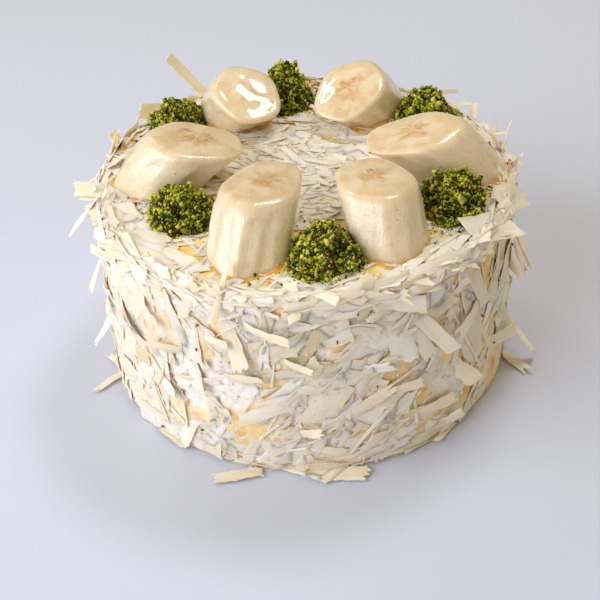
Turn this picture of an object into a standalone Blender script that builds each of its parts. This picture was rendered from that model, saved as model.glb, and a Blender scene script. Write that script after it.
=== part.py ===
"""A round banana cake, uncut: a cream-coated drum wrapped in white chocolate flakes.

Six slanting chunks of banana stand in a ring on top, with a heap of ground pistachio in each gap.
The origin is the centre of the base, +Z is up, and -Y is the side that faces the viewer.
"""

import math

import bmesh
import bpy
import numpy as np
from mathutils import Matrix, Vector

MM = 0.001

# The cream-coated drum
CREAM_RADIUS = 98.5 * MM
CREAM_HEIGHT = 98.0 * MM
SHOULDER = 4.0 * MM
CREAM_SIDES = 48
SWIRL_DEPTH = 0.7 * MM

# What lies on the cream keeps this far from it and from its neighbours
GAP = 0.3 * MM
TOP_LEVEL = CREAM_HEIGHT + GAP
UP = np.array([0.0, 0, 1])
WALL_CURVE = 1 / CREAM_RADIUS

# Each chunk of banana is a slanting slice. The azimuth, reach and rise place the middle of its cut
# face. The face climbs outwards by tilt, and the banana runs outwards and down by lean, more steeply
# towards its foot. Yaw turns the chunk off its radial line.
BANANA_BEND = math.radians(22) / (40 * MM)
BANANA_ARC = np.linspace(-34 * MM, 60 * MM, 95)
BANANA_LOBES = 5
BANANA_LOBE_DEPTH = 0.03
BANANA_SIDES = 20
BANANA_RINGS = 5
FACE_BEVEL = 1.4 * MM
BANANAS = [
    dict(azimuth=118.5, reach=53 * MM, rise=21 * MM, tilt=24, lean=38, radius=17.0 * MM, yaw=0),
    dict(azimuth=62, reach=53 * MM, rise=20.5 * MM, tilt=22, lean=35, radius=17.5 * MM, yaw=-6),
    dict(azimuth=179, reach=49.5 * MM, rise=22 * MM, tilt=13, lean=39, radius=18.0 * MM, yaw=4),
    dict(azimuth=-1, reach=53 * MM, rise=22 * MM, tilt=13, lean=36, radius=18.0 * MM, yaw=-4),
    dict(azimuth=-113, reach=46.5 * MM, rise=24 * MM, tilt=8, lean=38, radius=17.5 * MM, yaw=4),
    dict(azimuth=-54.5, reach=53 * MM, rise=24 * MM, tilt=6, lean=48, radius=17.5 * MM, yaw=-20),
]

# Each heap of ground pistachio is a lumpy dome with coarse pieces standing out of it. Its crest lies
# a little outwards or inwards of the middle.
HEAP_RINGS = 6
HEAP_SECTORS = 16
HEAP_BUMP = 0.9 * MM
NUT_PIECES = 7
NUT_RADIUS = (1.5 * MM, 2.3 * MM)
HEAPS = [
    dict(azimuth=95, reach=75 * MM, long=18 * MM, wide=13 * MM, height=17 * MM, crest=7 * MM),
    dict(azimuth=140, reach=81 * MM, long=13 * MM, wide=16 * MM, height=13 * MM, crest=2 * MM),
    dict(azimuth=38, reach=81 * MM, long=13 * MM, wide=16 * MM, height=13 * MM, crest=1 * MM),
    dict(azimuth=-150, reach=65 * MM, long=15 * MM, wide=17 * MM, height=14 * MM, crest=0),
    dict(azimuth=-84, reach=71 * MM, long=17 * MM, wide=16 * MM, height=13.5 * MM, crest=-1 * MM),
    dict(azimuth=-27, reach=75 * MM, long=16 * MM, wide=17 * MM, height=15 * MM, crest=-1 * MM),
]

# White chocolate flakes: shaved plates, straight-edged, a little curled, broken off at the ends
FLAKE_THICKNESS = 1.1 * MM
FLOOR_CLEARANCE = 0.5 * MM
BANANA_CLEARANCE = 0.8 * MM
HEAP_CLEARANCE = 2.2 * MM
GOLDEN_RATIO = (math.sqrt(5) - 1) / 2

# A lifted flake swings out about a root this share of its length from its middle
ROOT = 0.3
# The curl of a flake along its length, in turns of a radian a metre
CURL = (-3, 9)
TAPER = (-0.25, 0.35)
SLANT = 0.5
# A flake bent more than this along its length is made in two straight stretches
SHARP_BEND = 0.3

# The loose flakes of each kind: how many, their length, width and standing-off in millimetres, the
# range of their lift and the largest roll in radians
WALL = dict(count=104, length=(15, 34), width=(3.5, 10), proud=(0, 0.6), lift=(0.04, 0.46), roll=0.2)
RIM = dict(count=42, length=(13, 30), width=(2.5, 8), proud=(0, 1), lift=(0, 0.25), roll=0.3)
TOP = dict(count=26, length=(9, 24), width=(1.4, 4.2), proud=(0.2, 0.9), lift=(0, 0.12), roll=0.3)
FOOT = dict(count=9, length=(14, 26), width=(3, 7), proud=(0, 0), lift=(0, 0), roll=0)
WALL_BAND = (6 * MM, 92 * MM)
FOOT_LEVEL = 1.6 * MM

# The flakes that stand out most on the wall: azimuth in degrees, height in millimetres, turn from
# upright in degrees, length and width in millimetres, and lift in degrees
LEADING_FLAKES = [
    (-129, 82, -171, 35, 9, 3),
    (-138, 83, 133, 20, 8, 6),
    (-152, 78, 172, 26, 8, 5),
    (-140, 95, 96, 40, 10, 4),
    (-111, 82, 161, 42, 9, 5),
    (-121, 92, -160, 20, 6, 8),
    (-88, 95, 64, 40, 5, 4),
    (-72, 94, 108, 37, 7, 9),
    (-68, 75, 169, 31, 12, 9),
    (-75, 80, 176, 24, 11, 4),
    (-60, 73, 144, 41, 6, 14),
    (-82, 82, 97, 31, 5, 5),
    (-92, 57, 30, 24, 7, 7),
    (-76, 56, 59, 27, 6, 8),
    (-71, 43, 88, 33, 4, 8),
    (-80, 35, 56, 39, 7, 6),
    (-90, 13, 104, 27, 12, 6),
    (-73, 14, 149, 22, 10, 5),
    (-37, 45, 20, 32, 8, 4),
    (-42, 80, 157, 34, 9, 6),
    (-14, 20, 180, 34, 8, 37),
    (-9, 62, 176, 30, 7, 24),
    (-170, 94, 180, 26, 3, 40),
    (-171, 62, 176, 28, 5, 24),
    (-168, 30, 190, 26, 6, 30),
    (-2, 90, 8, 26, 9, 10),
    (8, 80, 165, 28, 8, 18),
    (123, 107, 33, 38, 4.5, 18),
    (136, 99, 78, 24, 8, 10),
    (156, 96, 10, 18, 6, 12),
    (68, 96, 20, 16, 5, 10),
    (46, 99, -76, 24, 3, 38),
    (29, 97, 15, 16, 6, 18),
    (17, 97, 5, 16, 3, 10),
    (9, 102, 3, 22, 2, 8),
    (2, 97, -28, 18, 3, 24),
]

# Fallen flakes that show at the foot: place in millimetres, direction, length and width
LEADING_FALLEN_FLAKES = [
    (100, -27, -54, 28, 5),
    (-101, -30, -137, 22, 3.5),
    (-36, -101, 9, 22, 6),
    (8, -103, -6, 28, 7),
    (-8, -101, -28, 24, 3),
]

# The same for the top: place in millimetres, direction in the plane, length and width
LEADING_TOP_FLAKES = [
    (2.5, 6, -61, 32, 4),
    (-10, 47, -13, 26, 3.5),
    (11.5, 17, -30, 23, 5),
    (8, 40, -27, 19, 3),
    (-16, 25, 29, 24, 4),
    (8, -15, 14, 16, 4),
    (8, -27, 27, 16, 4),
    (7, -39, 25, 14, 4.5),
    (-12, 10, 50, 22, 8),
    (56, -76, 25, 13, 4),
    (28, -86.5, 16, 22, 4.5),
    (-14, -92, -8, 21, 4),
]

CHOCOLATE = ("White_chocolate", (0.87, 0.79, 0.62), 0.55)
BANANA = ("Glazed_banana", (0.82, 0.68, 0.46), 0.18)
PISTACHIO = ("Ground_pistachio", (0.20, 0.29, 0.03), 0.85)


def clear_scene():
    for item in list(bpy.data.objects):
        bpy.data.objects.remove(item)


def material(name, colour, roughness):
    found = bpy.data.materials.get(name) or bpy.data.materials.new(name)
    found.use_nodes = True
    shader = found.node_tree.nodes["Principled BSDF"]
    shader.inputs["Base Color"].default_value = (*colour, 1)
    shader.inputs["Roughness"].default_value = roughness
    shader.inputs["Metallic"].default_value = 0
    return found


def add_object(name, mesh, finish=None):
    made = bpy.data.objects.new(name, mesh)
    bpy.context.scene.collection.objects.link(made)
    if finish:
        mesh.materials.append(material(*finish))
    return made


def mesh_from(name, bm):
    bmesh.ops.recalc_face_normals(bm, faces=bm.faces)
    if bm.calc_volume(signed=True) < 0:
        bmesh.ops.reverse_faces(bm, faces=bm.faces)
    mesh = bpy.data.meshes.new(name)
    bm.to_mesh(mesh)
    bm.free()
    return mesh


def boolean(target, operation, tools, solver="EXACT"):
    """Applies one Boolean with every object in tools, then removes them."""
    group = bpy.data.collections.new("Tools")
    bpy.context.scene.collection.children.link(group)
    for tool in tools:
        group.objects.link(tool)
    modifier = target.modifiers.new("Join", "BOOLEAN")
    modifier.operation = operation
    modifier.operand_type = "COLLECTION"
    modifier.collection = group
    modifier.solver = solver
    graph = bpy.context.evaluated_depsgraph_get()
    joined = bpy.data.meshes.new_from_object(target.evaluated_get(graph))
    target.modifiers.clear()
    target.data = joined
    for tool in tools:
        bpy.data.objects.remove(tool)
    bpy.data.collections.remove(group)


def keep_largest_shell(item):
    """Drops loose scraps and the walls of sealed hollows, so that one solid is left."""
    bm = bmesh.new()
    bm.from_mesh(item.data)
    bmesh.ops.triangulate(bm, faces=bm.faces)
    unseen = set(bm.verts)
    shells = []
    while unseen:
        shell, front = set(), [unseen.pop()]
        while front:
            vert = front.pop()
            shell.add(vert)
            for edge in vert.link_edges:
                other = edge.other_vert(vert)
                if other in unseen:
                    unseen.remove(other)
                    front.append(other)
        shells.append(shell)
    largest = max(shells, key=len)
    bmesh.ops.delete(bm, geom=[v for v in bm.verts if v not in largest], context="VERTS")
    bm.to_mesh(item.data)
    bm.free()


def placement(azimuth, reach, height, yaw=0.0):
    """A frame whose X runs outwards along the azimuth, with its origin at that reach and height."""
    turned = Matrix.Rotation(math.radians(azimuth), 4, "Z") @ Matrix.Translation((reach, 0, height))
    return turned @ Matrix.Rotation(math.radians(yaw), 4, "Z")


def chunk_frame(chunk):
    return placement(chunk["azimuth"], chunk["reach"], CREAM_HEIGHT + chunk["rise"], chunk["yaw"])


def chunk_axis(chunk, along):
    """A point on the banana's arc and its slope below level, in the chunk's own frame."""
    start = math.radians(chunk["lean"])
    slope = start + BANANA_BEND * along
    out = (np.sin(slope) - math.sin(start)) / BANANA_BEND
    up = (np.cos(slope) - math.cos(start)) / BANANA_BEND
    return out, up, slope


def banana_side(chunk, angle, grow):
    """The line that runs down the banana's skin side at one angle round it, from face to foot.

    Returns a function that gives the point at a share of the way, in the chunk's own frame, and the
    line's length.
    """
    along = BANANA_ARC
    out, up, slope = chunk_axis(chunk, along)
    radius = chunk["radius"] * (1 + BANANA_LOBE_DEPTH * math.cos(BANANA_LOBES * angle)) + grow
    high, wide = radius * math.cos(angle), radius * math.sin(angle)
    out, up = out + high * np.sin(slope), up + high * np.cos(slope)
    tilt = math.radians(chunk["tilt"])
    over_face = -math.sin(tilt) * out + math.cos(tilt) * up - grow
    foot = GAP - chunk["rise"] - (2 * GAP if grow else 0)
    start = np.interp(0, -over_face, along)
    end = np.interp(-foot, -up, along)

    def point(share):
        spot = start + (end - start) * share
        return np.array([np.interp(spot, along, out), wide, np.interp(spot, along, up)])

    return point, end - start


def banana_mesh(name, chunk, grow=0.0):
    """A bent tube with five soft lobes, from its slanting face with a rounded rim down to a flat foot.

    grow makes it larger all round, as a cutter that leaves a gap.
    """
    columns = []
    for side in range(BANANA_SIDES):
        point, length = banana_side(chunk, 2 * math.pi * side / BANANA_SIDES, grow)
        rim, below = point(0), point(FACE_BEVEL / length)
        inner = rim * (1 - FACE_BEVEL / np.linalg.norm(rim))
        shares = np.linspace(FACE_BEVEL / length, 1, BANANA_RINGS)
        columns.append([inner, 0.4 * rim + 0.3 * (inner + below), *(point(share) for share in shares)])
    bm = bmesh.new()
    grid = [[bm.verts.new(corner) for corner in column] for column in columns]
    for side in range(BANANA_SIDES):
        near, far = grid[side], grid[(side + 1) % BANANA_SIDES]
        for ring in range(len(near) - 1):
            bm.faces.new((near[ring], near[ring + 1], far[ring + 1], far[ring]))
    bm.faces.new([column[0] for column in grid])
    bm.faces.new([column[-1] for column in reversed(grid)])
    bmesh.ops.transform(bm, matrix=chunk_frame(chunk), verts=bm.verts)
    return mesh_from(name, bm)


def inside_banana(points, chunk, margin):
    """Which points lie within margin of a chunk, found from the nearest point of its arc."""
    local = np.asarray(chunk_frame(chunk).inverted())
    p = points @ local[:3, :3].T + local[:3, 3]
    out, up, _ = chunk_axis(chunk, BANANA_ARC[::2])
    arc = np.stack([out, np.zeros_like(out), up], axis=1)
    apart = np.linalg.norm(p[:, None] - arc[None], axis=2).min(axis=1)
    tilt = math.radians(chunk["tilt"])
    above_face = -math.sin(tilt) * p[:, 0] + math.cos(tilt) * p[:, 2]
    near = chunk["radius"] * (1 + BANANA_LOBE_DEPTH) + margin
    return (apart < near) & (above_face < margin) & (p[:, 2] > -chunk["rise"] - margin)


def inside_heap(points, heap, margin):
    """Which points lie within margin of a heap's dome."""
    local = np.asarray(placement(heap["azimuth"], heap["reach"], CREAM_HEIGHT).inverted())
    p = points @ local[:3, :3].T + local[:3, 3]
    level = np.maximum(p[:, 2], 0) / (heap["height"] + margin)
    radial = (p[:, 0] - heap["crest"] * np.minimum(level, 1)) / (heap["long"] + margin)
    across = p[:, 1] / (heap["wide"] + margin)
    return radial**2 + across**2 + level**2 < 1


def clear_of_toppings(points):
    hit = any(inside_banana(points, chunk, BANANA_CLEARANCE).any() for chunk in BANANAS)
    return not hit and not any(inside_heap(points, heap, HEAP_CLEARANCE).any() for heap in HEAPS)


def cream_body():
    """The drum: a turned profile with a round shoulder, its wall left uneven by the palette knife."""
    bm = bmesh.new()
    profile = [(CREAM_RADIUS, share * CREAM_HEIGHT) for share in (0, 0.35, 0.67)]
    for angle in np.linspace(0, math.pi / 2, 4):
        inset, drop = SHOULDER * (1 - math.cos(angle)), SHOULDER * (1 - math.sin(angle))
        profile.append((CREAM_RADIUS - inset, CREAM_HEIGHT - drop))
    rings = []
    for radius, height in profile:
        ring = []
        for side in range(CREAM_SIDES):
            angle = 2 * math.pi * side / CREAM_SIDES
            wave = math.sin(5 * angle + 60 * height) * math.sin(3 * angle - 90 * height)
            swirled = radius + SWIRL_DEPTH * wave * (0 < height < CREAM_HEIGHT)
            ring.append(bm.verts.new((swirled * math.cos(angle), swirled * math.sin(angle), height)))
        rings.append(ring)
    for low, high in zip(rings, rings[1:]):
        for side in range(CREAM_SIDES):
            after = (side + 1) % CREAM_SIDES
            bm.faces.new((low[side], low[after], high[after], high[side]))
    bm.faces.new(rings[-1])
    bm.faces.new(list(reversed(rings[0])))
    return mesh_from("cake", bm)


def flake_points(flake, stations):
    """The flake's corners: at each station along it, two on its outer face and two on its inner one.

    The strip follows an arc that curls back to the cake, and each end is broken off at a slant.
    """
    along, across, out = flake["along"], flake["across"], flake["out"]
    corners = []
    for step in np.linspace(-0.5, 0.5, stations):
        for side in (-0.5, 0.5):
            s = flake["length"] * (step + flake["slant"][int(step > 0)] * side * abs(step))
            bowed = flake["centre"] + along * s - out * flake["curl"] * s * s / 2
            normal = out + along * flake["curl"] * s
            edge = across * side * flake["width"] * (1 - flake["taper"] * (step + 0.5))
            for face in (-0.5, 0.5):
                corners.append(bowed + edge + normal / np.linalg.norm(normal) * face * flake["thickness"])
    return np.array(corners)


def flake_mesh(flake):
    """A closed plate through the corners that flake_points gives."""
    stations = 3 if abs(flake["curl"]) * flake["length"] > SHARP_BEND else 2
    points = flake_points(flake, stations)
    bm = bmesh.new()
    verts = [bm.verts.new(point) for point in points]
    loop = (0, 1, 3, 2)
    for near in range(0, 4 * (stations - 1), 4):
        for a, b in zip(loop, loop[1:] + loop[:1]):
            bm.faces.new((verts[near + a], verts[near + b], verts[near + 4 + b], verts[near + 4 + a]))
    bm.faces.new([verts[i] for i in loop])
    bm.faces.new([verts[4 * (stations - 1) + i] for i in reversed(loop)])
    return mesh_from("flake", bm)


def make_flake(rng, place, out, turn, length, width, lift, roll, proud, hug=0.0):
    """One flake on the surface at place, whose outward direction is out.

    turn is its angle from upright, lift swings one end out about a root near the other, roll raises
    one long edge, and proud is how far it stands off. hug is the curve that it bends round.
    """
    up = np.array([0.0, 0, 1]) if abs(out[2]) < 0.9 else np.array([0.0, 1, 0])
    level = np.cross(up, out)
    level /= np.linalg.norm(level)
    up = np.cross(out, level)
    along = math.cos(turn) * up + math.sin(turn) * level
    across = np.cross(out, along)
    centre = place + out * (proud + ROOT * length * abs(math.sin(lift)))
    along, out = (
        math.cos(lift) * along + math.sin(lift) * out,
        math.cos(lift) * out - math.sin(lift) * along,
    )
    across, out = (
        math.cos(roll) * across + math.sin(roll) * out,
        math.cos(roll) * out - math.sin(roll) * across,
    )
    return dict(
        centre=centre,
        along=along,
        across=across,
        out=out,
        length=length,
        width=width,
        thickness=FLAKE_THICKNESS,
        curl=hug * math.sin(turn) ** 2 + rng.uniform(*CURL),
        taper=rng.uniform(*TAPER),
        slant=rng.uniform(-SLANT, SLANT, 2) * min(1, 2.5 * width / length),
    )


def loose_flake(rng, kind, place, out, turn, hug=0.0):
    """A flake of one of the kinds above, its sizes drawn from their ranges."""
    low, high = kind["lift"]
    lift = rng.choice((-1, 1)) * (low + (high - low) * rng.random() ** 2)
    return make_flake(
        rng,
        place,
        out,
        turn,
        length=rng.uniform(*kind["length"]) * MM,
        width=rng.uniform(*kind["width"]) * MM,
        lift=lift,
        roll=rng.uniform(-1, 1) * kind["roll"],
        proud=rng.uniform(*kind["proud"]) * MM,
        hug=hug,
    )


def drift(azimuth):
    """The turn from upright that most flakes share here: crosswise in front, upright on the flanks."""
    return math.radians(65 + 45 * (1 - math.cos(3 * (azimuth + math.radians(75)))))


def wall_frame(azimuth, height):
    out = np.array([math.cos(azimuth), math.sin(azimuth), 0.0])
    return out * CREAM_RADIUS + UP * height, out


def leading_wall_flakes(rng):
    for azimuth, height, turn, length, width, lift in LEADING_FLAKES:
        place, out = wall_frame(math.radians(azimuth), height * MM)
        lift, roll = math.radians(lift), rng.uniform(-0.05, 0.05)
        size = length * MM, width * MM
        yield make_flake(rng, place, out, math.radians(turn), *size, lift, roll, 0.7 * MM, WALL_CURVE)


def wall_flakes(rng):
    """Spread over the wall by the golden ratio, so that no patch is missed."""
    for index in range(WALL["count"]):
        azimuth = 2 * math.pi * ((index * GOLDEN_RATIO) % 1)
        low, high = WALL_BAND
        height = low + (high - low) * (index + 0.5) / WALL["count"] + rng.uniform(-3, 3) * MM
        place, out = wall_frame(azimuth, height)
        yield loose_flake(rng, WALL, place, out, drift(azimuth) + rng.normal(0, 0.55), WALL_CURVE)


def rim_flakes(rng):
    """These lean on the shoulder, most of them along it and some pointing up and out."""
    for index in range(RIM["count"]):
        azimuth = 2 * math.pi * (index + rng.uniform(-0.3, 0.3)) / RIM["count"]
        place, wall_out = wall_frame(azimuth, CREAM_HEIGHT - 0.35 * SHOULDER)
        steep = rng.uniform(0.2, 1.2)
        out = math.cos(steep) * wall_out + math.sin(steep) * UP
        points_up = rng.random() < 0.3
        turn = rng.normal(0, 0.4) + (0 if points_up else math.pi / 2)
        yield loose_flake(rng, RIM, place - wall_out * 0.3 * SHOULDER, out, turn, WALL_CURVE)


def leading_top_flakes(rng):
    for x, y, direction, length, width in LEADING_TOP_FLAKES:
        place = np.array([x * MM, y * MM, CREAM_HEIGHT])
        turn, roll = math.radians(90 - direction), rng.uniform(-0.12, 0.12)
        yield make_flake(rng, place, UP, turn, length * MM, width * MM, 0.0, roll, 0.8 * MM)


def top_flakes(rng):
    """Slivers that lie flat on the free part of the top, any way round."""
    tries = 4 * TOP["count"]
    for index in range(tries):
        azimuth = 2 * math.pi * ((index * GOLDEN_RATIO) % 1)
        reach = 0.9 * CREAM_RADIUS * math.sqrt((index + 0.5) / tries)
        place = np.array([reach * math.cos(azimuth), reach * math.sin(azimuth), CREAM_HEIGHT])
        yield loose_flake(rng, TOP, place, UP, rng.uniform(0, math.pi))


def fallen_flakes(rng):
    """Flakes that have dropped and lie flat on the ground, against the foot of the cake."""
    for x, y, direction, length, width in LEADING_FALLEN_FLAKES:
        place = np.array([x * MM, y * MM, FOOT_LEVEL])
        turn = math.radians(90 - direction)
        flake = make_flake(rng, place, UP, turn, length * MM, width * MM, 0.0, 0.0, 0.0)
        yield dict(flake, curl=0.0)
    for index in range(FOOT["count"]):
        azimuth = 2 * math.pi * (index + rng.uniform(-0.35, 0.35)) / FOOT["count"]
        place, out = wall_frame(azimuth, FOOT_LEVEL)
        flake = loose_flake(rng, FOOT, place + out * FOOT_LEVEL, UP, -azimuth + rng.normal(0, 0.5))
        yield dict(flake, curl=0.0)


def sits_well(flake):
    points = flake_points(flake, 7)
    if points[:, 2].min() < FLOOR_CLEARANCE:
        return False
    return clear_of_toppings(points)


def build_cake():
    rng = np.random.default_rng(11)
    flakes = [*leading_wall_flakes(rng), *leading_top_flakes(rng), *wall_flakes(rng)]
    flakes += [*rim_flakes(rng), *fallen_flakes(rng)]
    flakes = [flake for flake in flakes if sits_well(flake)]
    flakes += [flake for flake in top_flakes(rng) if sits_well(flake)][: TOP["count"]]
    cake = add_object("cake", cream_body(), CHOCOLATE)
    plates = [add_object("flake", flake_mesh(flake)) for flake in flakes]
    boolean(cake, "UNION", plates, solver="MANIFOLD")
    keep_largest_shell(cake)
    return len(flakes)


def heap_mesh(name, heap, rng):
    """A dome on an oval foot, lumpy where the crumbs lie, as rings of points round its middle."""
    bm = bmesh.new()
    rings = []
    for ring_index in range(1, HEAP_RINGS + 1):
        share = ring_index / HEAP_RINGS
        ring = []
        for sector in range(HEAP_SECTORS):
            angle = 2 * math.pi * (sector + 0.5 * (ring_index % 2)) / HEAP_SECTORS
            ragged = 1 + 0.07 * math.sin(3 * angle + heap["azimuth"]) + rng.uniform(-0.04, 0.04)
            level = heap["height"] * (1 - share**2.4)
            if ring_index < HEAP_RINGS:
                level += rng.uniform(-HEAP_BUMP, HEAP_BUMP)
            ring.append(
                bm.verts.new(
                    (
                        heap["long"] * share * ragged * math.cos(angle) + heap["crest"] * (1 - share),
                        heap["wide"] * share * ragged * math.sin(angle),
                        max(level, 0.0),
                    )
                )
            )
        rings.append(ring)
    crown = bm.verts.new((heap["crest"], 0, heap["height"]))
    for sector in range(HEAP_SECTORS):
        after = (sector + 1) % HEAP_SECTORS
        bm.faces.new((crown, rings[0][sector], rings[0][after]))
        for inner, outer in zip(rings, rings[1:]):
            bm.faces.new((inner[sector], outer[sector], outer[after], inner[after]))
    bm.faces.new(rings[-1])
    frame = placement(heap["azimuth"], heap["reach"], TOP_LEVEL)
    bmesh.ops.transform(bm, matrix=frame, verts=bm.verts)
    return mesh_from(name, bm)


def nut_pieces(heap, rng):
    """Coarse pieces of nut, half sunk in the dome and spread over it by the golden ratio."""
    frame = placement(heap["azimuth"], heap["reach"], TOP_LEVEL)
    for index in range(NUT_PIECES):
        angle = 2 * math.pi * index * GOLDEN_RATIO
        share = 0.82 * math.sqrt((index + 0.5) / NUT_PIECES)
        radius = rng.uniform(*NUT_RADIUS)
        spot = Vector(
            (
                heap["long"] * share * math.cos(angle) + heap["crest"] * (1 - share),
                heap["wide"] * share * math.sin(angle),
                max(heap["height"] * (1 - share**2.4), 2.2 * MM),
            )
        )
        bm = bmesh.new()
        bmesh.ops.create_icosphere(bm, subdivisions=1, radius=radius)
        spin = Matrix.Rotation(rng.uniform(0, 6), 4, Vector(rng.normal(size=3)))
        bmesh.ops.transform(bm, matrix=frame @ Matrix.Translation(spot) @ spin, verts=bm.verts)
        yield add_object("nut", mesh_from("nut", bm))


def build_heap(number, heap):
    rng = np.random.default_rng(40 + number)
    name = f"pistachio_{number}"
    item = add_object(name, heap_mesh(name, heap, rng), PISTACHIO)
    boolean(item, "UNION", list(nut_pieces(heap, rng)))
    cutters = [add_object("cutter", banana_mesh("cutter", chunk, grow=1.5 * GAP)) for chunk in BANANAS]
    boolean(item, "DIFFERENCE", cutters)
    keep_largest_shell(item)


def main():
    clear_scene()
    for number, chunk in enumerate(BANANAS, start=1):
        name = f"banana_{number}"
        mesh = banana_mesh(name, chunk)
        mesh.shade_smooth()
        mesh.set_sharp_from_angle(angle=math.radians(40))
        add_object(name, mesh, BANANA)
    for number, heap in enumerate(HEAPS, start=1):
        build_heap(number, heap)
    print("flakes on the cake:", build_cake())


main()
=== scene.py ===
# %% [markdown]
# # Dressing a banana cake
#
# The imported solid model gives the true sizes: a round cream-coated cake wrapped in white chocolate
# flakes, with six chunks of glazed banana and six heaps of ground pistachio on top. This script loads
# that model as a fixed frame and lays the real surfaces over it. Everything is in metres, with the
# origin at the centre of the cake's flat base, +Z up and -Y towards the viewer.

import math

import bpy
import numpy as np
from mathutils import Matrix, Vector


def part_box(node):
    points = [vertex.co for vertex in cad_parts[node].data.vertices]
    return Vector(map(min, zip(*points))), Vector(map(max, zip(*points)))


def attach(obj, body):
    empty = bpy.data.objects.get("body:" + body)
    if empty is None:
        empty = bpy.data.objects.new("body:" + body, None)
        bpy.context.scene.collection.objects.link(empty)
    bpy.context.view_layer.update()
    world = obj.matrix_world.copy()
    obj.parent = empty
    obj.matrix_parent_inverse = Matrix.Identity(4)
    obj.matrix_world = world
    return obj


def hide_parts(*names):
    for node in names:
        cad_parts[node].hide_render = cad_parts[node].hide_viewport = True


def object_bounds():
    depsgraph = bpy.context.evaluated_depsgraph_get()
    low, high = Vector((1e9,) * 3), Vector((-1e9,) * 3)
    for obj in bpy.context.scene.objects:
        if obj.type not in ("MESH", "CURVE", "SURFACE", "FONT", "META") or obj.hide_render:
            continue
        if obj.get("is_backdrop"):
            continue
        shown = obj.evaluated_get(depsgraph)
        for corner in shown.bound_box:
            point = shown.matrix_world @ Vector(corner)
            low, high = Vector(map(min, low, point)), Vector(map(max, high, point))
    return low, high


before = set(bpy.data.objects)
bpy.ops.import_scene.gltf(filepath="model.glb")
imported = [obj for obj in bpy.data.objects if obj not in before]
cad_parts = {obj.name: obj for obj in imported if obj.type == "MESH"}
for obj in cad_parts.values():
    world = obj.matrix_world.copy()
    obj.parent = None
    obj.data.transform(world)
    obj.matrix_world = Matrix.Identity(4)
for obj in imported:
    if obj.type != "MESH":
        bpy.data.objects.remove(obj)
cad_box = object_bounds()

MM = 0.001
UP = np.array([0.0, 0, 1])
cake_low, cake_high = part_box("cake")
print("cake node:", [round((b - a) / MM, 1) for a, b in zip(cake_low, cake_high)], "mm")


# %% [markdown]
# ## Small tools
#
# Colours are written as the hex codes that a colour picker shows. Those are sRGB, and Blender's shaders
# want linear light, so one function turns them. Another adds a shader node together with its settings
# and links, which keeps each material down to a few readable lines.

# %% Colours and nodes
def linear(code):
    """An sRGB hex colour as linear red, green, blue and alpha, by the sRGB curve."""
    parts = [int(code[place : place + 2], 16) / 255 for place in (1, 3, 5)]
    return (*[c / 12.92 if c <= 0.04045 else ((c + 0.055) / 1.055) ** 2.4 for c in parts], 1.0)


def add_node(tree, kind, inputs=(), stops=(), **properties):
    """Adds a node: its properties, its sockets' values or links, and the stops of a ramp.

    Sockets go by name or number. For Map Range 1 and 2 are the range it reads and 3 and 4 the range that
    it gives (6, 9 and 10 for vectors). For Mix 0 is the share, and 6 and 7 are the colours. For Mapping 3
    is the scale.
    """
    made = tree.nodes.new("ShaderNode" + kind)
    for name, value in properties.items():
        setattr(made, name, value)
    for socket, value in dict(inputs).items():
        if isinstance(value, bpy.types.NodeSocket):
            tree.links.new(value, made.inputs[socket])
        else:
            made.inputs[socket].default_value = value
    for index, (place, colour) in enumerate(stops):
        elements = made.color_ramp.elements
        element = elements[index] if index < 2 else elements.new(place)
        element.position = place
        element.color = linear(colour) if isinstance(colour, str) else (colour, colour, colour, 1)
    return made


def new_material(name, **settings):
    """A material whose shader sockets are set by name, with underscores for spaces."""
    finish = bpy.data.materials.new(name)
    finish.use_nodes = True
    shader = finish.node_tree.nodes["Principled BSDF"]
    for socket, value in settings.items():
        shader.inputs[socket.replace("_", " ")].default_value = value
    return finish, finish.node_tree, shader


# %% [markdown]
# Every piece is a surface worked out as a whole array of points. The faces of a grid follow one rule,
# so they are arrays too. If a closed surface comes out with a negative volume, its faces look inwards,
# and they are turned round.

# %% From arrays to a piece
def grid_faces(rows, columns, closed_rows=False):
    """The quads of a grid that closes round its columns, where point (r, c) is r * columns + c."""
    row = np.arange(rows if closed_rows else rows - 1)[:, None]
    column = np.arange(columns)[None, :]
    near, far, after = row * columns, (row + 1) % rows * columns, (column + 1) % columns
    corners = np.broadcast_arrays(near + column, near + after, far + after, far + column)
    return np.stack(corners, axis=-1).reshape(-1, 4)


def closed_by_poles(grid, low_pole, high_pole):
    """Points, quads and triangles of a grid whose first and last rows close in a pole each."""
    rows, columns = grid.shape[:2]
    points = np.concatenate([grid.reshape(-1, 3), [low_pole], [high_pole]])
    column = np.arange(columns)
    after, top = (column + 1) % columns, (rows - 1) * columns
    low_fan = np.stack([np.full(columns, rows * columns), after, column], axis=1)
    high_fan = np.stack([np.full(columns, rows * columns + 1), top + column, top + after], axis=1)
    return points, grid_faces(rows, columns), np.concatenate([low_fan, high_fan])


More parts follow.
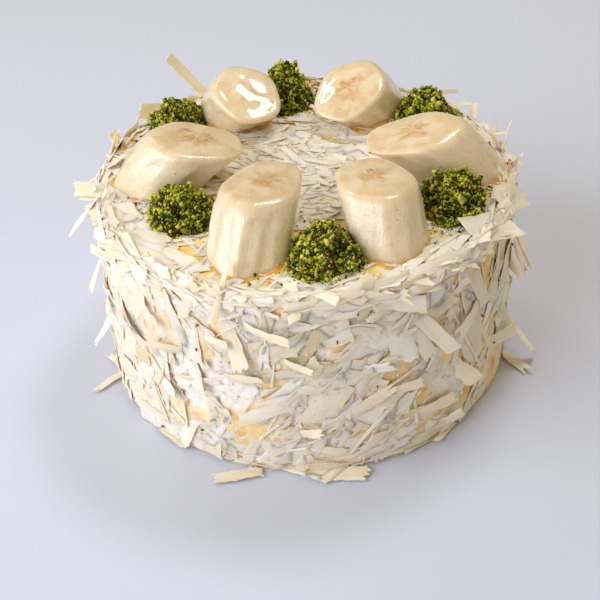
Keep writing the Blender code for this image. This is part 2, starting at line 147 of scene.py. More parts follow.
def make_piece(name, points, quads, triangles, finish, slot, replaced=(), sharp=None, **attributes):
    """Puts the arrays into a mesh, turns it outwards, finishes it and lets it ride on the cake."""
    quads, triangles = np.asarray(quads, int).reshape(-1, 4), np.asarray(triangles, int).reshape(-1, 3)
    fans = np.concatenate([quads[:, [0, 1, 2]], quads[:, [0, 2, 3]], triangles])
    a, b, c = (points[fans[:, corner]] for corner in range(3))
    volume = np.einsum("ij,ij->i", a, np.cross(b, c)).sum() / 6
    if volume < 0:
        quads, triangles = quads[:, ::-1], triangles[:, ::-1]
    mesh = bpy.data.meshes.new(name)
    mesh.vertices.add(len(points))
    mesh.vertices.foreach_set("co", points.astype(np.float32).ravel())
    corners = np.concatenate([quads.ravel(), triangles.ravel()]).astype(np.int32)
    ends = 4 * len(quads)
    starts = np.concatenate([np.arange(len(quads)) * 4, ends + np.arange(len(triangles)) * 3])
    mesh.loops.add(len(corners))
    mesh.loops.foreach_set("vertex_index", corners)
    mesh.polygons.add(len(starts))
    mesh.polygons.foreach_set("loop_start", starts.astype(np.int32))
    mesh.update(calc_edges=True)
    for attribute, values in attributes.items():
        vector = np.ndim(values) == 2
        made = mesh.attributes.new(attribute, "FLOAT_VECTOR" if vector else "FLOAT", "POINT")
        made.data.foreach_set("vector" if vector else "value", np.asarray(values, np.float32).ravel())
    mesh.validate()
    if sharp != 0:
        mesh.shade_smooth()
    if sharp:
        mesh.set_sharp_from_angle(angle=math.radians(sharp))
    mesh.materials.append(finish)
    piece = bpy.data.objects.new(name, mesh)
    bpy.context.scene.collection.objects.link(piece)
    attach(piece, "root")
    if replaced:
        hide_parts(*replaced)
    print(f"{name}: {2 * len(quads) + len(triangles)} triangles, {abs(volume) * 1e6:.1f} ml")
    return piece


def ripples(points, wavelength, seed, waves=24):
    """Soft random waves, about -1 to 1: a sum of plane sine waves with random directions and phases."""
    rng = np.random.default_rng(seed)
    directions = rng.normal(size=(waves, 3))
    directions /= np.linalg.norm(directions, axis=1, keepdims=True)
    numbers = 2 * math.pi / (wavelength * rng.uniform(0.7, 1.4, waves))
    phases = rng.uniform(0, 2 * math.pi, waves)
    swing = points @ (directions * numbers[:, None]).T + phases
    return np.sin(swing).sum(axis=-1) / math.sqrt(waves)


# %% [markdown]
# ## Camera, floor and light
#
# The camera looks down at 37 degrees through a 72 mm lens, from about 63 cm. The light is a soft window
# from the left, two softboxes above and behind that give the glaze its clear highlights, and a warm, pale
# room all round. The plain transform keeps pale food as bright as it is.

# %% Camera
CAMERA_PLACE = (-0.00422, -0.49083, 0.39947)
CAMERA_ELEVATION = 37.46
CAMERA_ROLL = -2.709

scene = bpy.context.scene
lens = bpy.data.cameras.new("camera")
lens.lens, lens.sensor_width = 72, 36
lens.clip_start, lens.clip_end = 0.01, 20
camera = bpy.data.objects.new("camera", lens)
scene.collection.objects.link(camera)
look = Matrix.Rotation(math.radians(90 - CAMERA_ELEVATION), 4, "X")
roll = Matrix.Rotation(math.radians(CAMERA_ROLL), 4, "Z")
camera.matrix_world = Matrix.Translation(CAMERA_PLACE) @ look @ roll
scene.camera = camera
scene.view_settings.view_transform = "Standard"

# %% Floor and light
FLOOR_HALF = 3.0
AIM = (0, 0, 0.06)
FLOOR_COLOUR = "#C8CFE2"
ROOM_COLOUR = "#F6E3BC"
ROOM_STRENGTH = 0.52
# Name, place, size, watts and colour; each light looks at the middle of the cake
LIGHTS = [
    ("window", (-1.12, -0.62, 0.75), (1.6, 1.1), 24, "#EFF3FF"),
    ("softbox", (0.30, 0.42, 1.15), (0.36, 0.30), 4.6, "#FFFFFF"),
    ("small softbox", (-0.43, 0.65, 0.97), (0.20, 0.08), 0.8, "#FFFFFF"),
]

floor_mesh = bpy.data.meshes.new("floor")
floor_corners = [(x * FLOOR_HALF, y * FLOOR_HALF, 0) for x, y in ((-1, -1), (1, -1), (1, 1), (-1, 1))]
floor_mesh.from_pydata(floor_corners, [], [(0, 1, 2, 3)])
floor = bpy.data.objects.new("floor", floor_mesh)
scene.collection.objects.link(floor)
# Matt paint on a board: pale, even and without highlights
painted, _, _ = new_material("matt painted board", Base_Color=linear(FLOOR_COLOUR), Roughness=0.8)
floor_mesh.materials.append(painted)
floor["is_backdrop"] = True

world = bpy.data.worlds.new("room")
world.use_nodes = True
world.node_tree.nodes["Background"].inputs["Color"].default_value = linear(ROOM_COLOUR)
world.node_tree.nodes["Background"].inputs["Strength"].default_value = ROOM_STRENGTH
scene.world = world

for name, place, size, watts, colour in LIGHTS:
    light = bpy.data.lights.new(name, "AREA")
    light.shape, light.size, light.size_y = "RECTANGLE", *size
    light.energy, light.color = watts, linear(colour)[:3]
    lamp = bpy.data.objects.new(name, light)
    scene.collection.objects.link(lamp)
    aim = Vector(AIM) - Vector(place)
    lamp.matrix_world = Matrix.Translation(place) @ aim.to_track_quat("-Z", "Y").to_matrix().to_4x4()


# %% [markdown]
# ## The cream coat
#
# The cake is coated in whipped cream, smoothed with a palette knife. Its profile runs up the wall,
# round a soft shoulder and in over the top. The same profile gives each flake its place and the
# direction that it faces, so it is a function of the azimuth and of the way along the profile.

# %% The drum's profile
CREAM_RADIUS = 98.5 * MM
CREAM_HEIGHT = 98.0 * MM
SHOULDER = 4.0 * MM
WALL_TOP = CREAM_HEIGHT - SHOULDER
TOP_START = WALL_TOP + SHOULDER * math.pi / 2
PROFILE_LENGTH = TOP_START + CREAM_RADIUS - SHOULDER


def drum_frame(azimuth, way):
    """Place and outward direction at an azimuth and a way along the profile, from the foot to the middle.

    The direction is level on the wall, turns up by way / shoulder radius, and is upright on the top.
    """
    turn = np.clip((way - WALL_TOP) / SHOULDER, 0, math.pi / 2)
    radius = CREAM_RADIUS - SHOULDER * (1 - np.cos(turn)) - np.maximum(way - TOP_START, 0)
    height = np.minimum(way, WALL_TOP) + SHOULDER * np.sin(turn)
    place = np.stack([radius * np.cos(azimuth), radius * np.sin(azimuth), height], axis=-1)
    level = np.cos(turn)
    out = np.stack([level * np.cos(azimuth), level * np.sin(azimuth), np.sin(turn)], axis=-1)
    return place, out


# %% [markdown]
# In a few places the flakes left the cream bare. It shows there nearly white and a little bluish, full
# of tiny air holes. In narrow gaps it shows the ochre of painted bounce light. Each patch and gap is an
# oval on the wall, and the same ovals keep the scattered flakes off.

# %% Bare patches
# Azimuth and height of the middle, half width in degrees, half height in millimetres
BARE_PATCHES = [
    (-124, 44, 9, 12),
    (-111, 50, 6, 12),
    (-90.5, 69, 4, 8),
    (-92.5, 36, 4, 12),
    (-60, 52, 3.5, 7),
    (-20, 40, 6, 9),
    (40, 60, 8, 12),
    (115, 35, 9, 12),
    (165, 55, 7, 10),
]
# The same for narrow gaps, where the cream shows its painted ochre, painted bounce light
NARROW_GAPS = [
    (-45, 27, 1.8, 11), (-47, 46, 1.4, 8), (-39, 58, 1.5, 7), (-31, 32, 1.8, 9), (-30, 8, 3, 7),
    (-55, 71, 1.8, 6), (-46, 6, 2.2, 5), (-129, 24, 1.1, 10), (-137, 14, 1.6, 7), (-118, 78, 1.2, 7),
    (-76, 47, 2.2, 4), (-66, 92, 3, 3), (-24, 60, 2, 9), (10, 40, 2, 10), (-36, 44, 2.2, 9),
    (-41, 16, 2.4, 7), (-26, 18, 2.2, 9), (-52, 24, 1.6, 8), (-28, 78, 2, 8), (-18, 66, 2, 9),
    (-14, 30, 2.4, 12), (-50, 60, 1.6, 6), (-34, 66, 1.6, 8), (-60, 30, 1.6, 7), (75, 35, 2, 12),
    (100, 70, 2, 9), (140, 25, 2, 10), (-160, 35, 2, 12), (-148, 62, 1.4, 9),
]


def degrees_from(azimuth, middle=0.0):
    """How far an azimuth in radians lies beyond a middle in degrees, from -180 to 180 degrees."""
    return (np.degrees(azimuth) - middle + 180) % 360 - 180


def in_ovals(azimuth, height, ovals):
    """2.2 - (off / half width)^2, both ways: 1.2 at the rim of an oval and 0 well outside it."""
    found = np.zeros(np.shape(azimuth))
    for middle, level, wide, high in ovals:
        apart = degrees_from(azimuth, middle)
        inside = 2.2 - (apart / wide) ** 2 - ((height / MM - level) / high) ** 2
        found = np.maximum(found, inside)
    return found


# %% [markdown]
# The whipped cream's material is nearly white where it is bare. Under the flakes it is painted warm
# straw yellow, as painted bounce light from flake to flake, and on top it is painted deeper still,
# because light bounces there more. The air holes are dark dots of painted shade up to 1.5 mm wide, one
# to each cell of a pattern nearly 4 mm wide, pushed about so that no two are alike.

# %% Whipped cream
PAINTED_BOUNCE_PATCH = 9 * MM
HOLE_SPACING = 3.8 * MM
HOLE_UNEVENNESS = 1.4 * MM
CREAM_PORE = 0.9 * MM


def whipped_cream():
    """Whipped cream spread with a palette knife: matt, soft, its light scattered inside."""
    finish, tree, shader = new_material(
        "whipped cream spread by knife",
        Roughness=0.62,
        Specular_IOR_Level=0.3,
        Subsurface_Weight=0.25,
        Subsurface_Radius=(1.0, 0.75, 0.5),
        Subsurface_Scale=2.5 * MM,
    )
    place = add_node(tree, "TexCoord").outputs["Object"]
    # The bare share mixes in the white cream: the bare patches, and painted paleness on the window side
    bare = add_node(tree, "Attribute", attribute_name="bare").outputs["Fac"]
    height = add_node(tree, "SeparateXYZ", {0: place}).outputs["Z"]
    on_top = add_node(tree, "MapRange", {0: height, 1: WALL_TOP, 2: CREAM_HEIGHT}).outputs[0]
    patchy = add_node(tree, "TexNoise", {"Vector": place, "Scale": 1 / PAINTED_BOUNCE_PATCH, "Detail": 6})
    # Painted bounce light: the ochre under the flakes on the wall and the deeper ochre on the top
    stops = [(0.32, "#DDB068"), (0.68, "#EAE4D8"), (0.44, "#ECCC8C"), (0.56, "#F2DCA6")]
    wall = add_node(tree, "ValToRGB", {0: patchy.outputs[0]}, stops)
    top = add_node(tree, "ValToRGB", {0: patchy.outputs[0]}, [(0.3, "#EEC262"), (0.7, "#F8E09C")])
    soaked = add_node(tree, "Mix", {0: on_top, 6: wall.outputs[0], 7: top.outputs[0]}, data_type="RGBA")
    uneven = add_node(tree, "TexNoise", {"Vector": place, "Scale": 1 / HOLE_UNEVENNESS, "Detail": 2})
    pushed = add_node(
        tree, "VectorMath", {0: uneven.outputs[1], 1: (MM, MM, MM), 2: place}, operation="MULTIPLY_ADD"
    )
    cells = {"Vector": pushed.outputs[0], "Scale": 1 / HOLE_SPACING, "Randomness": 1}
    holes = add_node(tree, "TexVoronoi", cells)
    # Painted shade: each air hole is a grey dot, the shade inside it
    stops = [(0.08, "#A8A29C"), (0.9, "#F6F1EB"), (0.2, "#E6DFD8")]
    dots = add_node(tree, "ValToRGB", {0: holes.outputs[0]}, stops)
    coat = add_node(tree, "Mix", {0: bare, 6: soaked.outputs[2], 7: dots.outputs[0]}, data_type="RGBA")
    tree.links.new(coat.outputs[2], shader.inputs["Base Color"])
    grain = add_node(tree, "TexNoise", {"Vector": place, "Scale": 1 / CREAM_PORE, "Detail": 4})
    bump = add_node(tree, "Bump", {"Height": grain.outputs[0], "Strength": 0.5, "Distance": 0.3 * MM})
    tree.links.new(bump.outputs[0], shader.inputs["Normal"])
    return finish


# %% [markdown]
# The coat is one grid, round the cake and along its profile, and four things raise it: the swirl that
# the knife left, a fine grain, soft lumps where it is bare, and everywhere else the layer that the
# flakes are pressed into. On the left more cream comes up between the flakes, and there the cream is
# painted paler, as painted light on the side that faces the window. All of it fades out at the foot,
# so that the base stays flat.

# %% The coat's surface
CREAM_ROWS = 190
CREAM_COLUMNS = 480
SWIRL_DEPTH = 0.7 * MM
CREAM_GRAIN = 2.2 * MM
CREAM_GRAIN_DEPTH = 0.22 * MM
COARSE_LUMP = 8 * MM
FINE_LUMP = 3.2 * MM
LUMP_DEPTH = 0.6 * MM
PRESSED_IN_LAYER = 1.0 * MM
# The middle and the spread of the part where more cream comes up, in degrees, and how much paler it is
# painted there, as painted light on the side that faces the window
FULL_SIDE = -155
FULL_SPREAD = 28
FULL_LAYER = 0.9 * MM
WINDOW_SIDE_PAINTED_PALENESS = 0.6

azimuths = np.linspace(0, 2 * math.pi, CREAM_COLUMNS, endpoint=False)[None, :]
ways = np.linspace(0, PROFILE_LENGTH, CREAM_ROWS, endpoint=False)[:, None]
azimuths, ways = np.broadcast_arrays(azimuths, ways)
cream_grid, cream_out = drum_frame(azimuths, ways)
level = cream_grid[..., 2]
swirl = np.sin(5 * azimuths + 60 * level) * np.sin(3 * azimuths - 90 * level)
relief = SWIRL_DEPTH * swirl * (ways < WALL_TOP) + CREAM_GRAIN_DEPTH * ripples(cream_grid, CREAM_GRAIN, 1)
bare = np.minimum(in_ovals(azimuths, level, BARE_PATCHES), 1)
lumps = ripples(cream_grid, COARSE_LUMP, 2) + 0.5 * ripples(cream_grid, FINE_LUMP, 3)
relief += bare * (ways < WALL_TOP) * LUMP_DEPTH * lumps
off = degrees_from(azimuths, FULL_SIDE)
full = np.clip(1.6 - np.abs(off) / FULL_SPREAD, 0, 1) * np.clip((WALL_TOP - ways) / (6 * MM), 0, 1)
relief += (1 - bare) * (PRESSED_IN_LAYER + FULL_LAYER * full)
relief *= np.clip(ways / (3 * MM), 0, 1)
cream_grid = cream_grid + cream_out * relief[..., None]
points, quads, triangles = closed_by_poles(cream_grid, (0, 0, 0), (0, 0, CREAM_HEIGHT))
# The bare attribute holds the bare patches and, on the side facing the window, painted paleness
make_piece(
    "cream", points, quads, triangles, whipped_cream(), "white_chocolate", ["cake"],
    bare=np.append(np.maximum(bare, WINDOW_SIDE_PAINTED_PALENESS * full).ravel(), [0, 0]),
)


# %% [markdown]
# ## Where the toppings stand
#
# The six chunks of banana and the six heaps have the places and sizes of the solid model. Each has a
# frame of its own, whose X axis runs outwards from the middle of the cake. Flakes and crumbs are kept
# out of the toppings with two tests: a banana is all that lies near its bent axis and below its cut
# face, and a heap is a dome.

# %% Bananas and heaps
GAP = 0.3 * MM
TOP_LEVEL = CREAM_HEIGHT + GAP
BANANA_BEND = math.radians(22) / (40 * MM)
BANANA_ARC = np.linspace(-34 * MM, 60 * MM, 95)
BANANA_LOBES = 5
BANANA_LOBE_DEPTH = 0.03
BANANAS = [
    dict(azimuth=118.5, reach=53 * MM, rise=21 * MM, tilt=24, lean=38, radius=17.0 * MM, yaw=0),
    dict(azimuth=62, reach=53 * MM, rise=20.5 * MM, tilt=22, lean=35, radius=17.5 * MM, yaw=-6),
    dict(azimuth=179, reach=49.5 * MM, rise=22 * MM, tilt=13, lean=39, radius=18.0 * MM, yaw=4),
    dict(azimuth=-1, reach=53 * MM, rise=22 * MM, tilt=13, lean=36, radius=18.0 * MM, yaw=-4),
    dict(azimuth=-113, reach=46.5 * MM, rise=24 * MM, tilt=8, lean=38, radius=17.5 * MM, yaw=4),
    dict(azimuth=-54.5, reach=53 * MM, rise=24 * MM, tilt=6, lean=48, radius=17.5 * MM, yaw=-20),
]
HEAPS = [
    dict(azimuth=95, reach=75 * MM, long=18 * MM, wide=13 * MM, height=17 * MM, crest=7 * MM),
    dict(azimuth=140, reach=81 * MM, long=13 * MM, wide=16 * MM, height=13 * MM, crest=2 * MM),
    dict(azimuth=38, reach=81 * MM, long=13 * MM, wide=16 * MM, height=13 * MM, crest=1 * MM),
    dict(azimuth=-150, reach=65 * MM, long=15 * MM, wide=17 * MM, height=14 * MM, crest=0),
    dict(azimuth=-84, reach=71 * MM, long=17 * MM, wide=16 * MM, height=13.5 * MM, crest=-1 * MM),
    dict(azimuth=-27, reach=75 * MM, long=16 * MM, wide=17 * MM, height=15 * MM, crest=-1 * MM),
]


def placement(azimuth, reach, height, yaw=0.0):
    """The matrix of a frame that stands at a reach and height and looks out along the azimuth."""
    turned = Matrix.Rotation(math.radians(azimuth), 4, "Z") @ Matrix.Translation((reach, 0, height))
    return np.array(turned @ Matrix.Rotation(math.radians(yaw), 4, "Z"))


def moved(points, matrix):
    """Points carried by a 4 x 4 matrix: turned by its 3 x 3 part, then shifted by its last column."""
    return points @ matrix[:3, :3].T + matrix[:3, 3]


def chunk_frame(chunk):
    """The frame of a banana chunk, whose origin is where its axis meets the cut face."""
    return placement(chunk["azimuth"], chunk["reach"], CREAM_HEIGHT + chunk["rise"], chunk["yaw"])


def inside_banana(points, chunk, margin):
    """Which points lie within margin of a chunk, found from the nearest point of its bent axis."""
    p = moved(points, np.linalg.inv(chunk_frame(chunk)))
    start = math.radians(chunk["lean"])
    slope = start + BANANA_BEND * BANANA_ARC[::2]
    axis_out = (np.sin(slope) - math.sin(start)) / BANANA_BEND
    axis_up = (np.cos(slope) - math.cos(start)) / BANANA_BEND
    axis = np.stack([axis_out, np.zeros_like(slope), axis_up], axis=1)
    apart = np.full(len(p), np.inf)
    for spot in axis:
        apart = np.minimum(apart, np.linalg.norm(p - spot, axis=1))
    tilt = math.radians(chunk["tilt"])
    above_face = -math.sin(tilt) * p[:, 0] + math.cos(tilt) * p[:, 2]
    near = chunk["radius"] * (1 + BANANA_LOBE_DEPTH) + margin
    return (apart < near) & (above_face < margin) & (p[:, 2] > -chunk["rise"] - margin)


def inside_heap(points, heap, margin):
    """Which points lie within margin of a heap's dome."""
    frame_back = np.linalg.inv(placement(heap["azimuth"], heap["reach"], CREAM_HEIGHT))
    p = moved(points, frame_back)
    level = np.maximum(p[:, 2], 0) / (heap["height"] + margin)
    radial = (p[:, 0] - heap["crest"] * np.minimum(level, 1)) / (heap["long"] + margin)
    across = p[:, 1] / (heap["wide"] + margin)
    return radial**2 + across**2 + level**2 < 1


def touches_topping(points, banana_margin, heap_margin):
    """Which points lie within the margins of any banana or heap."""
    hit = np.zeros(len(points), bool)
    for chunk in BANANAS:
        hit |= inside_banana(points, chunk, banana_margin)
    for heap in HEAPS:
        hit |= inside_heap(points, heap, heap_margin)
    return hit


# %% [markdown]
# ## The white chocolate flakes
#
# Flakes are shaved from a block with a knife, so they are long plates with straight edges and broken
# ends, a little curled. One set of arrays describes any number of them: where each has its middle, the
# directions along it, across it and out of its face, its length and width, how it curls and tapers, and
# how its ends slant. The random draws come in the same order as in the solid model, from the same seed,
# so the large flakes here lie where its flakes lie.

# %% Describing flakes
# A lifted flake swings out about a root this share of its length from its middle
ROOT = 0.3
CURL = (-3, 9)
TAPER = (-0.25, 0.35)
SLANT = 0.5
WALL_CURVE = 1 / CREAM_RADIUS
GOLDEN_RATIO = (math.sqrt(5) - 1) / 2


def unit(vectors):
    """Each vector divided by its length."""
    return vectors / np.linalg.norm(vectors, axis=-1, keepdims=True)


def shave(rng, place, out, turn, length, width, lift, roll, proud, hug=0.0):
    """Flakes at their places on a surface that faces out, as arrays with one row for each flake.

    turn is the angle from upright, lift swings one end out, roll raises one long edge, proud is how far
    the flake stands off, and hug is the curve of what it lies on.
    """
    place, out = np.atleast_2d(place), np.atleast_2d(out)
    count = len(place)
    turn, length, width, lift, roll, proud = (
        np.broadcast_to(values, count)[:, None] for values in (turn, length, width, lift, roll, proud)
    )
    up = np.where(np.abs(out[:, 2:]) < 0.9, UP, np.array([0.0, 1, 0]))
    level = unit(np.cross(up, out))
    along = np.cos(turn) * np.cross(out, level) + np.sin(turn) * level
    across = np.cross(out, along)
    centre = place + out * (proud + ROOT * length * np.abs(np.sin(lift)))
    along, out = np.cos(lift) * along + np.sin(lift) * out, np.cos(lift) * out - np.sin(lift) * along
    across, out = np.cos(roll) * across + np.sin(roll) * out, np.cos(roll) * out - np.sin(roll) * across
    curl = hug * np.sin(turn[:, 0]) ** 2 + rng.uniform(*CURL, count)
    taper = rng.uniform(*TAPER, count)
    slant = rng.uniform(-SLANT, SLANT, (count, 2)) * np.minimum(1, 2.5 * width / length)
    return dict(
        centre=centre, along=along, across=across, out=out, length=length[:, 0], width=width[:, 0],
        curl=curl, taper=taper, slant=slant,
    )


def gathered(sets):
    """Several sets of flakes as one."""
    return {key: np.concatenate([flakes[key] for flakes in sets]) for key in sets[0]}


def chosen(flakes, which):
    """The flakes that a mask or a list of numbers picks out."""
    return {key: values[which] for key, values in flakes.items()}


# %% [markdown]
# A flake's surface is a function of the step along it and the side across it, both from -1/2 to 1/2. The
# step runs along an arc, the side goes straight across, and the ends slant because a point at the side
# lies further along than one in the middle.

# %% The surface of a flake
def plate_points(flakes, steps, sides, height=0.0, shift=0.0, nick=0.0):
    """Points of the flakes' middle sheets, as an array by flake, step and side.

    s = length (step + slant side |step|) + shift; the point is centre + s along - curl s^2 / 2 out
    + (side width (1 - taper (step + 1/2)) + nick) across, raised by height along its own normal.
    """
    step, side = steps[None, :, None], sides[None, None, :]
    length, width, curl, taper = (flakes[k][:, None, None] for k in ("length", "width", "curl", "taper"))
    slant = np.where(step > 0, flakes["slant"][:, 1, None, None], flakes["slant"][:, 0, None, None])
    s = length * (step + slant * side * np.abs(step)) + shift
    centre, along, across, out = (flakes[k][:, None, None] for k in ("centre", "along", "across", "out"))
    normal = unit(out + along * (curl * s)[..., None])
    edge = side * width * (1 - taper * (step + 0.5)) + nick
    bowed = centre + along * s[..., None] - out * (curl * s * s / 2)[..., None]
    return bowed + across * edge[..., None] + normal * np.broadcast_to(height, s.shape)[..., None]


# %% [markdown]
# The large flakes are drawn here in the model's order: those that stand out most, those spread over the
# wall, those on the shoulder, those that fell to the ground, and slivers on the top.

# %% The large flakes' places
PLATE_THICKNESS = 1.1 * MM
FLOOR_CLEARANCE = 0.5 * MM
WALL_KIND = dict(count=104, length=(15, 34), width=(3.5, 10), proud=(0, 0.6), lift=(0.04, 0.46), roll=0.2)
RIM_KIND = dict(count=42, length=(13, 30), width=(2.5, 8), proud=(0, 1), lift=(0, 0.25), roll=0.3)
TOP_KIND = dict(count=26, length=(9, 24), width=(1.4, 4.2), proud=(0.2, 0.9), lift=(0, 0.12), roll=0.3)
FOOT_KIND = dict(count=9, length=(14, 26), width=(3, 7), proud=(0, 0), lift=(0, 0), roll=0)
WALL_BAND = (6 * MM, 92 * MM)
FOOT_LEVEL = 1.6 * MM
# Azimuth in degrees, height in mm, turn from upright in degrees, length and width in mm, lift in degrees
LEADING_FLAKES = [
    (-129, 82, -171, 35, 9, 3), (-138, 83, 133, 20, 8, 6), (-152, 78, 172, 26, 8, 5),
    (-140, 95, 96, 40, 10, 4), (-111, 82, 161, 42, 9, 5), (-121, 92, -160, 20, 6, 8),
    (-88, 95, 64, 40, 5, 4), (-72, 94, 108, 37, 7, 9), (-68, 75, 169, 31, 12, 9),
    (-75, 80, 176, 24, 11, 4), (-60, 73, 144, 41, 6, 14), (-82, 82, 97, 31, 5, 5),
    (-92, 57, 30, 24, 7, 7), (-76, 56, 59, 27, 6, 8), (-71, 43, 88, 33, 4, 8),
    (-80, 35, 56, 39, 7, 6), (-90, 13, 104, 27, 12, 6), (-73, 14, 149, 22, 10, 5),
    (-37, 45, 20, 32, 8, 4), (-42, 80, 157, 34, 9, 6), (-14, 20, 180, 34, 8, 37),
    (-9, 62, 176, 30, 7, 24), (-170, 94, 180, 26, 3, 40), (-171, 62, 176, 28, 5, 24),
    (-168, 30, 190, 26, 6, 30), (-2, 90, 8, 26, 9, 10), (8, 80, 165, 28, 8, 18),
    (123, 107, 33, 38, 4.5, 18), (136, 99, 78, 24, 8, 10), (156, 96, 10, 18, 6, 12),
    (68, 96, 20, 16, 5, 10), (46, 99, -76, 24, 3, 38), (29, 97, 15, 16, 6, 18),
    (17, 97, 5, 16, 3, 10), (9, 102, 3, 22, 2, 8), (2, 97, -28, 18, 3, 24),
]
# Place in mm, direction in the plane in degrees, length and width in mm
LEADING_FALLEN_FLAKES = [
    (100, -27, -54, 28, 5), (-101, -30, -137, 22, 3.5), (-36, -101, 9, 22, 6), (8, -103, -6, 28, 7),
    (-8, -101, -28, 24, 3),
]
LEADING_TOP_FLAKES = [
    (2.5, 6, -61, 32, 4), (-10, 47, -13, 26, 3.5), (11.5, 17, -30, 23, 5), (8, 40, -27, 19, 3),
    (-16, 25, 29, 24, 4), (8, -15, 14, 16, 4), (8, -27, 27, 16, 4), (7, -39, 25, 14, 4.5),
    (-12, 10, 50, 22, 8), (56, -76, 25, 13, 4), (28, -86.5, 16, 22, 4.5), (-14, -92, -8, 21, 4),
]


def drift(azimuth):
    """The turn from upright that most flakes share: crosswise in front, upright on the flanks."""
    return np.radians(65 + 45 * (1 - np.cos(3 * (azimuth + math.radians(75)))))


def wall_frame(azimuth, height):
    """The place on the wall at an azimuth and height, and the level direction out of it."""
    out = np.array([math.cos(azimuth), math.sin(azimuth), 0.0])
    return out * CREAM_RADIUS + UP * height, out


def loose_flake(rng, kind, place, out, turn, hug=0.0):
    """One flake with its sizes drawn from the ranges of its kind."""
    low, high = kind["lift"]
    lift = rng.choice((-1, 1)) * (low + (high - low) * rng.random() ** 2)
    length, width = rng.uniform(*kind["length"]) * MM, rng.uniform(*kind["width"]) * MM
    roll, proud = rng.uniform(-1, 1) * kind["roll"], rng.uniform(*kind["proud"]) * MM
    return shave(rng, place, out, turn, length, width, lift, roll, proud, hug)


def wall_and_rim_flakes(rng):
    """The sets of flakes on the wall, the top's leading ones, the shoulder and the ground, in order."""
    for azimuth, height, turn, length, width, lift in LEADING_FLAKES:
        place, out = wall_frame(math.radians(azimuth), height * MM)
        sizes = length * MM, width * MM, math.radians(lift), rng.uniform(-0.05, 0.05)
        yield shave(rng, place, out, math.radians(turn), *sizes, 0.7 * MM, WALL_CURVE)
    for x, y, direction, length, width in LEADING_TOP_FLAKES:
        place, turn = (x * MM, y * MM, CREAM_HEIGHT), math.radians(90 - direction)
        roll = rng.uniform(-0.12, 0.12)
        yield shave(rng, place, UP, turn, length * MM, width * MM, 0.0, roll, 0.8 * MM)
    for index in range(WALL_KIND["count"]):
        azimuth = 2 * math.pi * ((index * GOLDEN_RATIO) % 1)
        low, high = WALL_BAND
        height = low + (high - low) * (index + 0.5) / WALL_KIND["count"] + rng.uniform(-3, 3) * MM
        place, out = wall_frame(azimuth, height)
        turn = drift(azimuth) + rng.normal(0, 0.55)
        yield loose_flake(rng, WALL_KIND, place, out, turn, WALL_CURVE)
    for index in range(RIM_KIND["count"]):
        azimuth = 2 * math.pi * (index + rng.uniform(-0.3, 0.3)) / RIM_KIND["count"]
        place, wall_out = wall_frame(azimuth, CREAM_HEIGHT - 0.35 * SHOULDER)
        steep = rng.uniform(0.2, 1.2)
        out = math.cos(steep) * wall_out + math.sin(steep) * UP
        points_up = rng.random() < 0.3
        turn = rng.normal(0, 0.4) + (0 if points_up else math.pi / 2)
        yield loose_flake(rng, RIM_KIND, place - wall_out * 0.3 * SHOULDER, out, turn, WALL_CURVE)
    for x, y, direction, length, width in LEADING_FALLEN_FLAKES:
        place, turn = (x * MM, y * MM, FOOT_LEVEL), math.radians(90 - direction)
        flake = shave(rng, place, UP, turn, length * MM, width * MM, 0.0, 0.0, 0.0)
        yield dict(flake, curl=np.zeros(1))
    for index in range(FOOT_KIND["count"]):
        azimuth = 2 * math.pi * (index + rng.uniform(-0.35, 0.35)) / FOOT_KIND["count"]
        place, out = wall_frame(azimuth, FOOT_LEVEL)
        turn = -azimuth + rng.normal(0, 0.5)
        flake = loose_flake(rng, FOOT_KIND, place + out * FOOT_LEVEL, UP, turn)
        yield dict(flake, curl=np.zeros(1))


def top_slivers(rng):
    """Slivers that lie flat on the free part of the top, any way round."""
    tries = 4 * TOP_KIND["count"]
    for index in range(tries):
        azimuth = 2 * math.pi * ((index * GOLDEN_RATIO) % 1)
        reach = 0.9 * CREAM_RADIUS * math.sqrt((index + 0.5) / tries)
        place = np.array([reach * math.cos(azimuth), reach * math.sin(azimuth), CREAM_HEIGHT])
        yield loose_flake(rng, TOP_KIND, place, UP, rng.uniform(0, math.pi))


def sits_well(flakes, banana_margin, heap_margin, thickness=PLATE_THICKNESS):
    """Which flakes stay above the ground and clear of every topping."""
    steps, sides = np.linspace(-0.5, 0.5, 7), np.array([-0.5, 0.5])
    faces = [plate_points(flakes, steps, sides, face * thickness) for face in (-0.5, 0.5)]
    tested = np.stack(faces, axis=1).reshape(len(flakes["length"]), -1, 3)
    low = tested[..., 2].min(axis=1) < FLOOR_CLEARANCE
    hit = touches_topping(tested.reshape(-1, 3), banana_margin, heap_margin)
    return ~low & ~hit.reshape(len(tested), -1).any(axis=1)


draws = np.random.default_rng(11)
large = gathered(list(wall_and_rim_flakes(draws)))
large = chosen(large, sits_well(large, 0.8 * MM, 2.2 * MM))
slivers_on_top = gathered(list(top_slivers(draws)))
fitting = np.flatnonzero(sits_well(slivers_on_top, 0.8 * MM, 2.2 * MM))[: TOP_KIND["count"]]
large = gathered([large, chosen(slivers_on_top, fitting)])
print("large flakes:", len(large["length"]))


# %% [markdown]
# A real flake is no flat plate. It waves and twists a little, one end may roll up, it bows in its own
# plane, its broken ends are stepped like a torn edge, and it thins out towards its edges. These are
# added as heights and shifts on the same grid. Each flake then becomes a closed tube: its front from one
# edge to the other, its back the other way, and a strip over each end. Each point also stores its painted
# glow: painted light on thin edges and ends, where light comes through, and painted bounce light from the
# cream on the undersides.

# %% Flakes as closed shells
# Painted light: how warm the long edges, those of a fine grid of few sides, and the ends are painted,
# where light comes through
EDGE_GLOW = 0.4
FINE_EDGE_GLOW = 0.15
END_GLOW = 0.3
# Below this height the undersides are painted golden, as painted bounce light from the cream, and
# above it they stay pale
PAINTED_BOUNCE_BELOW = 86 * MM
PAINTED_BOUNCE_FADE = 10 * MM


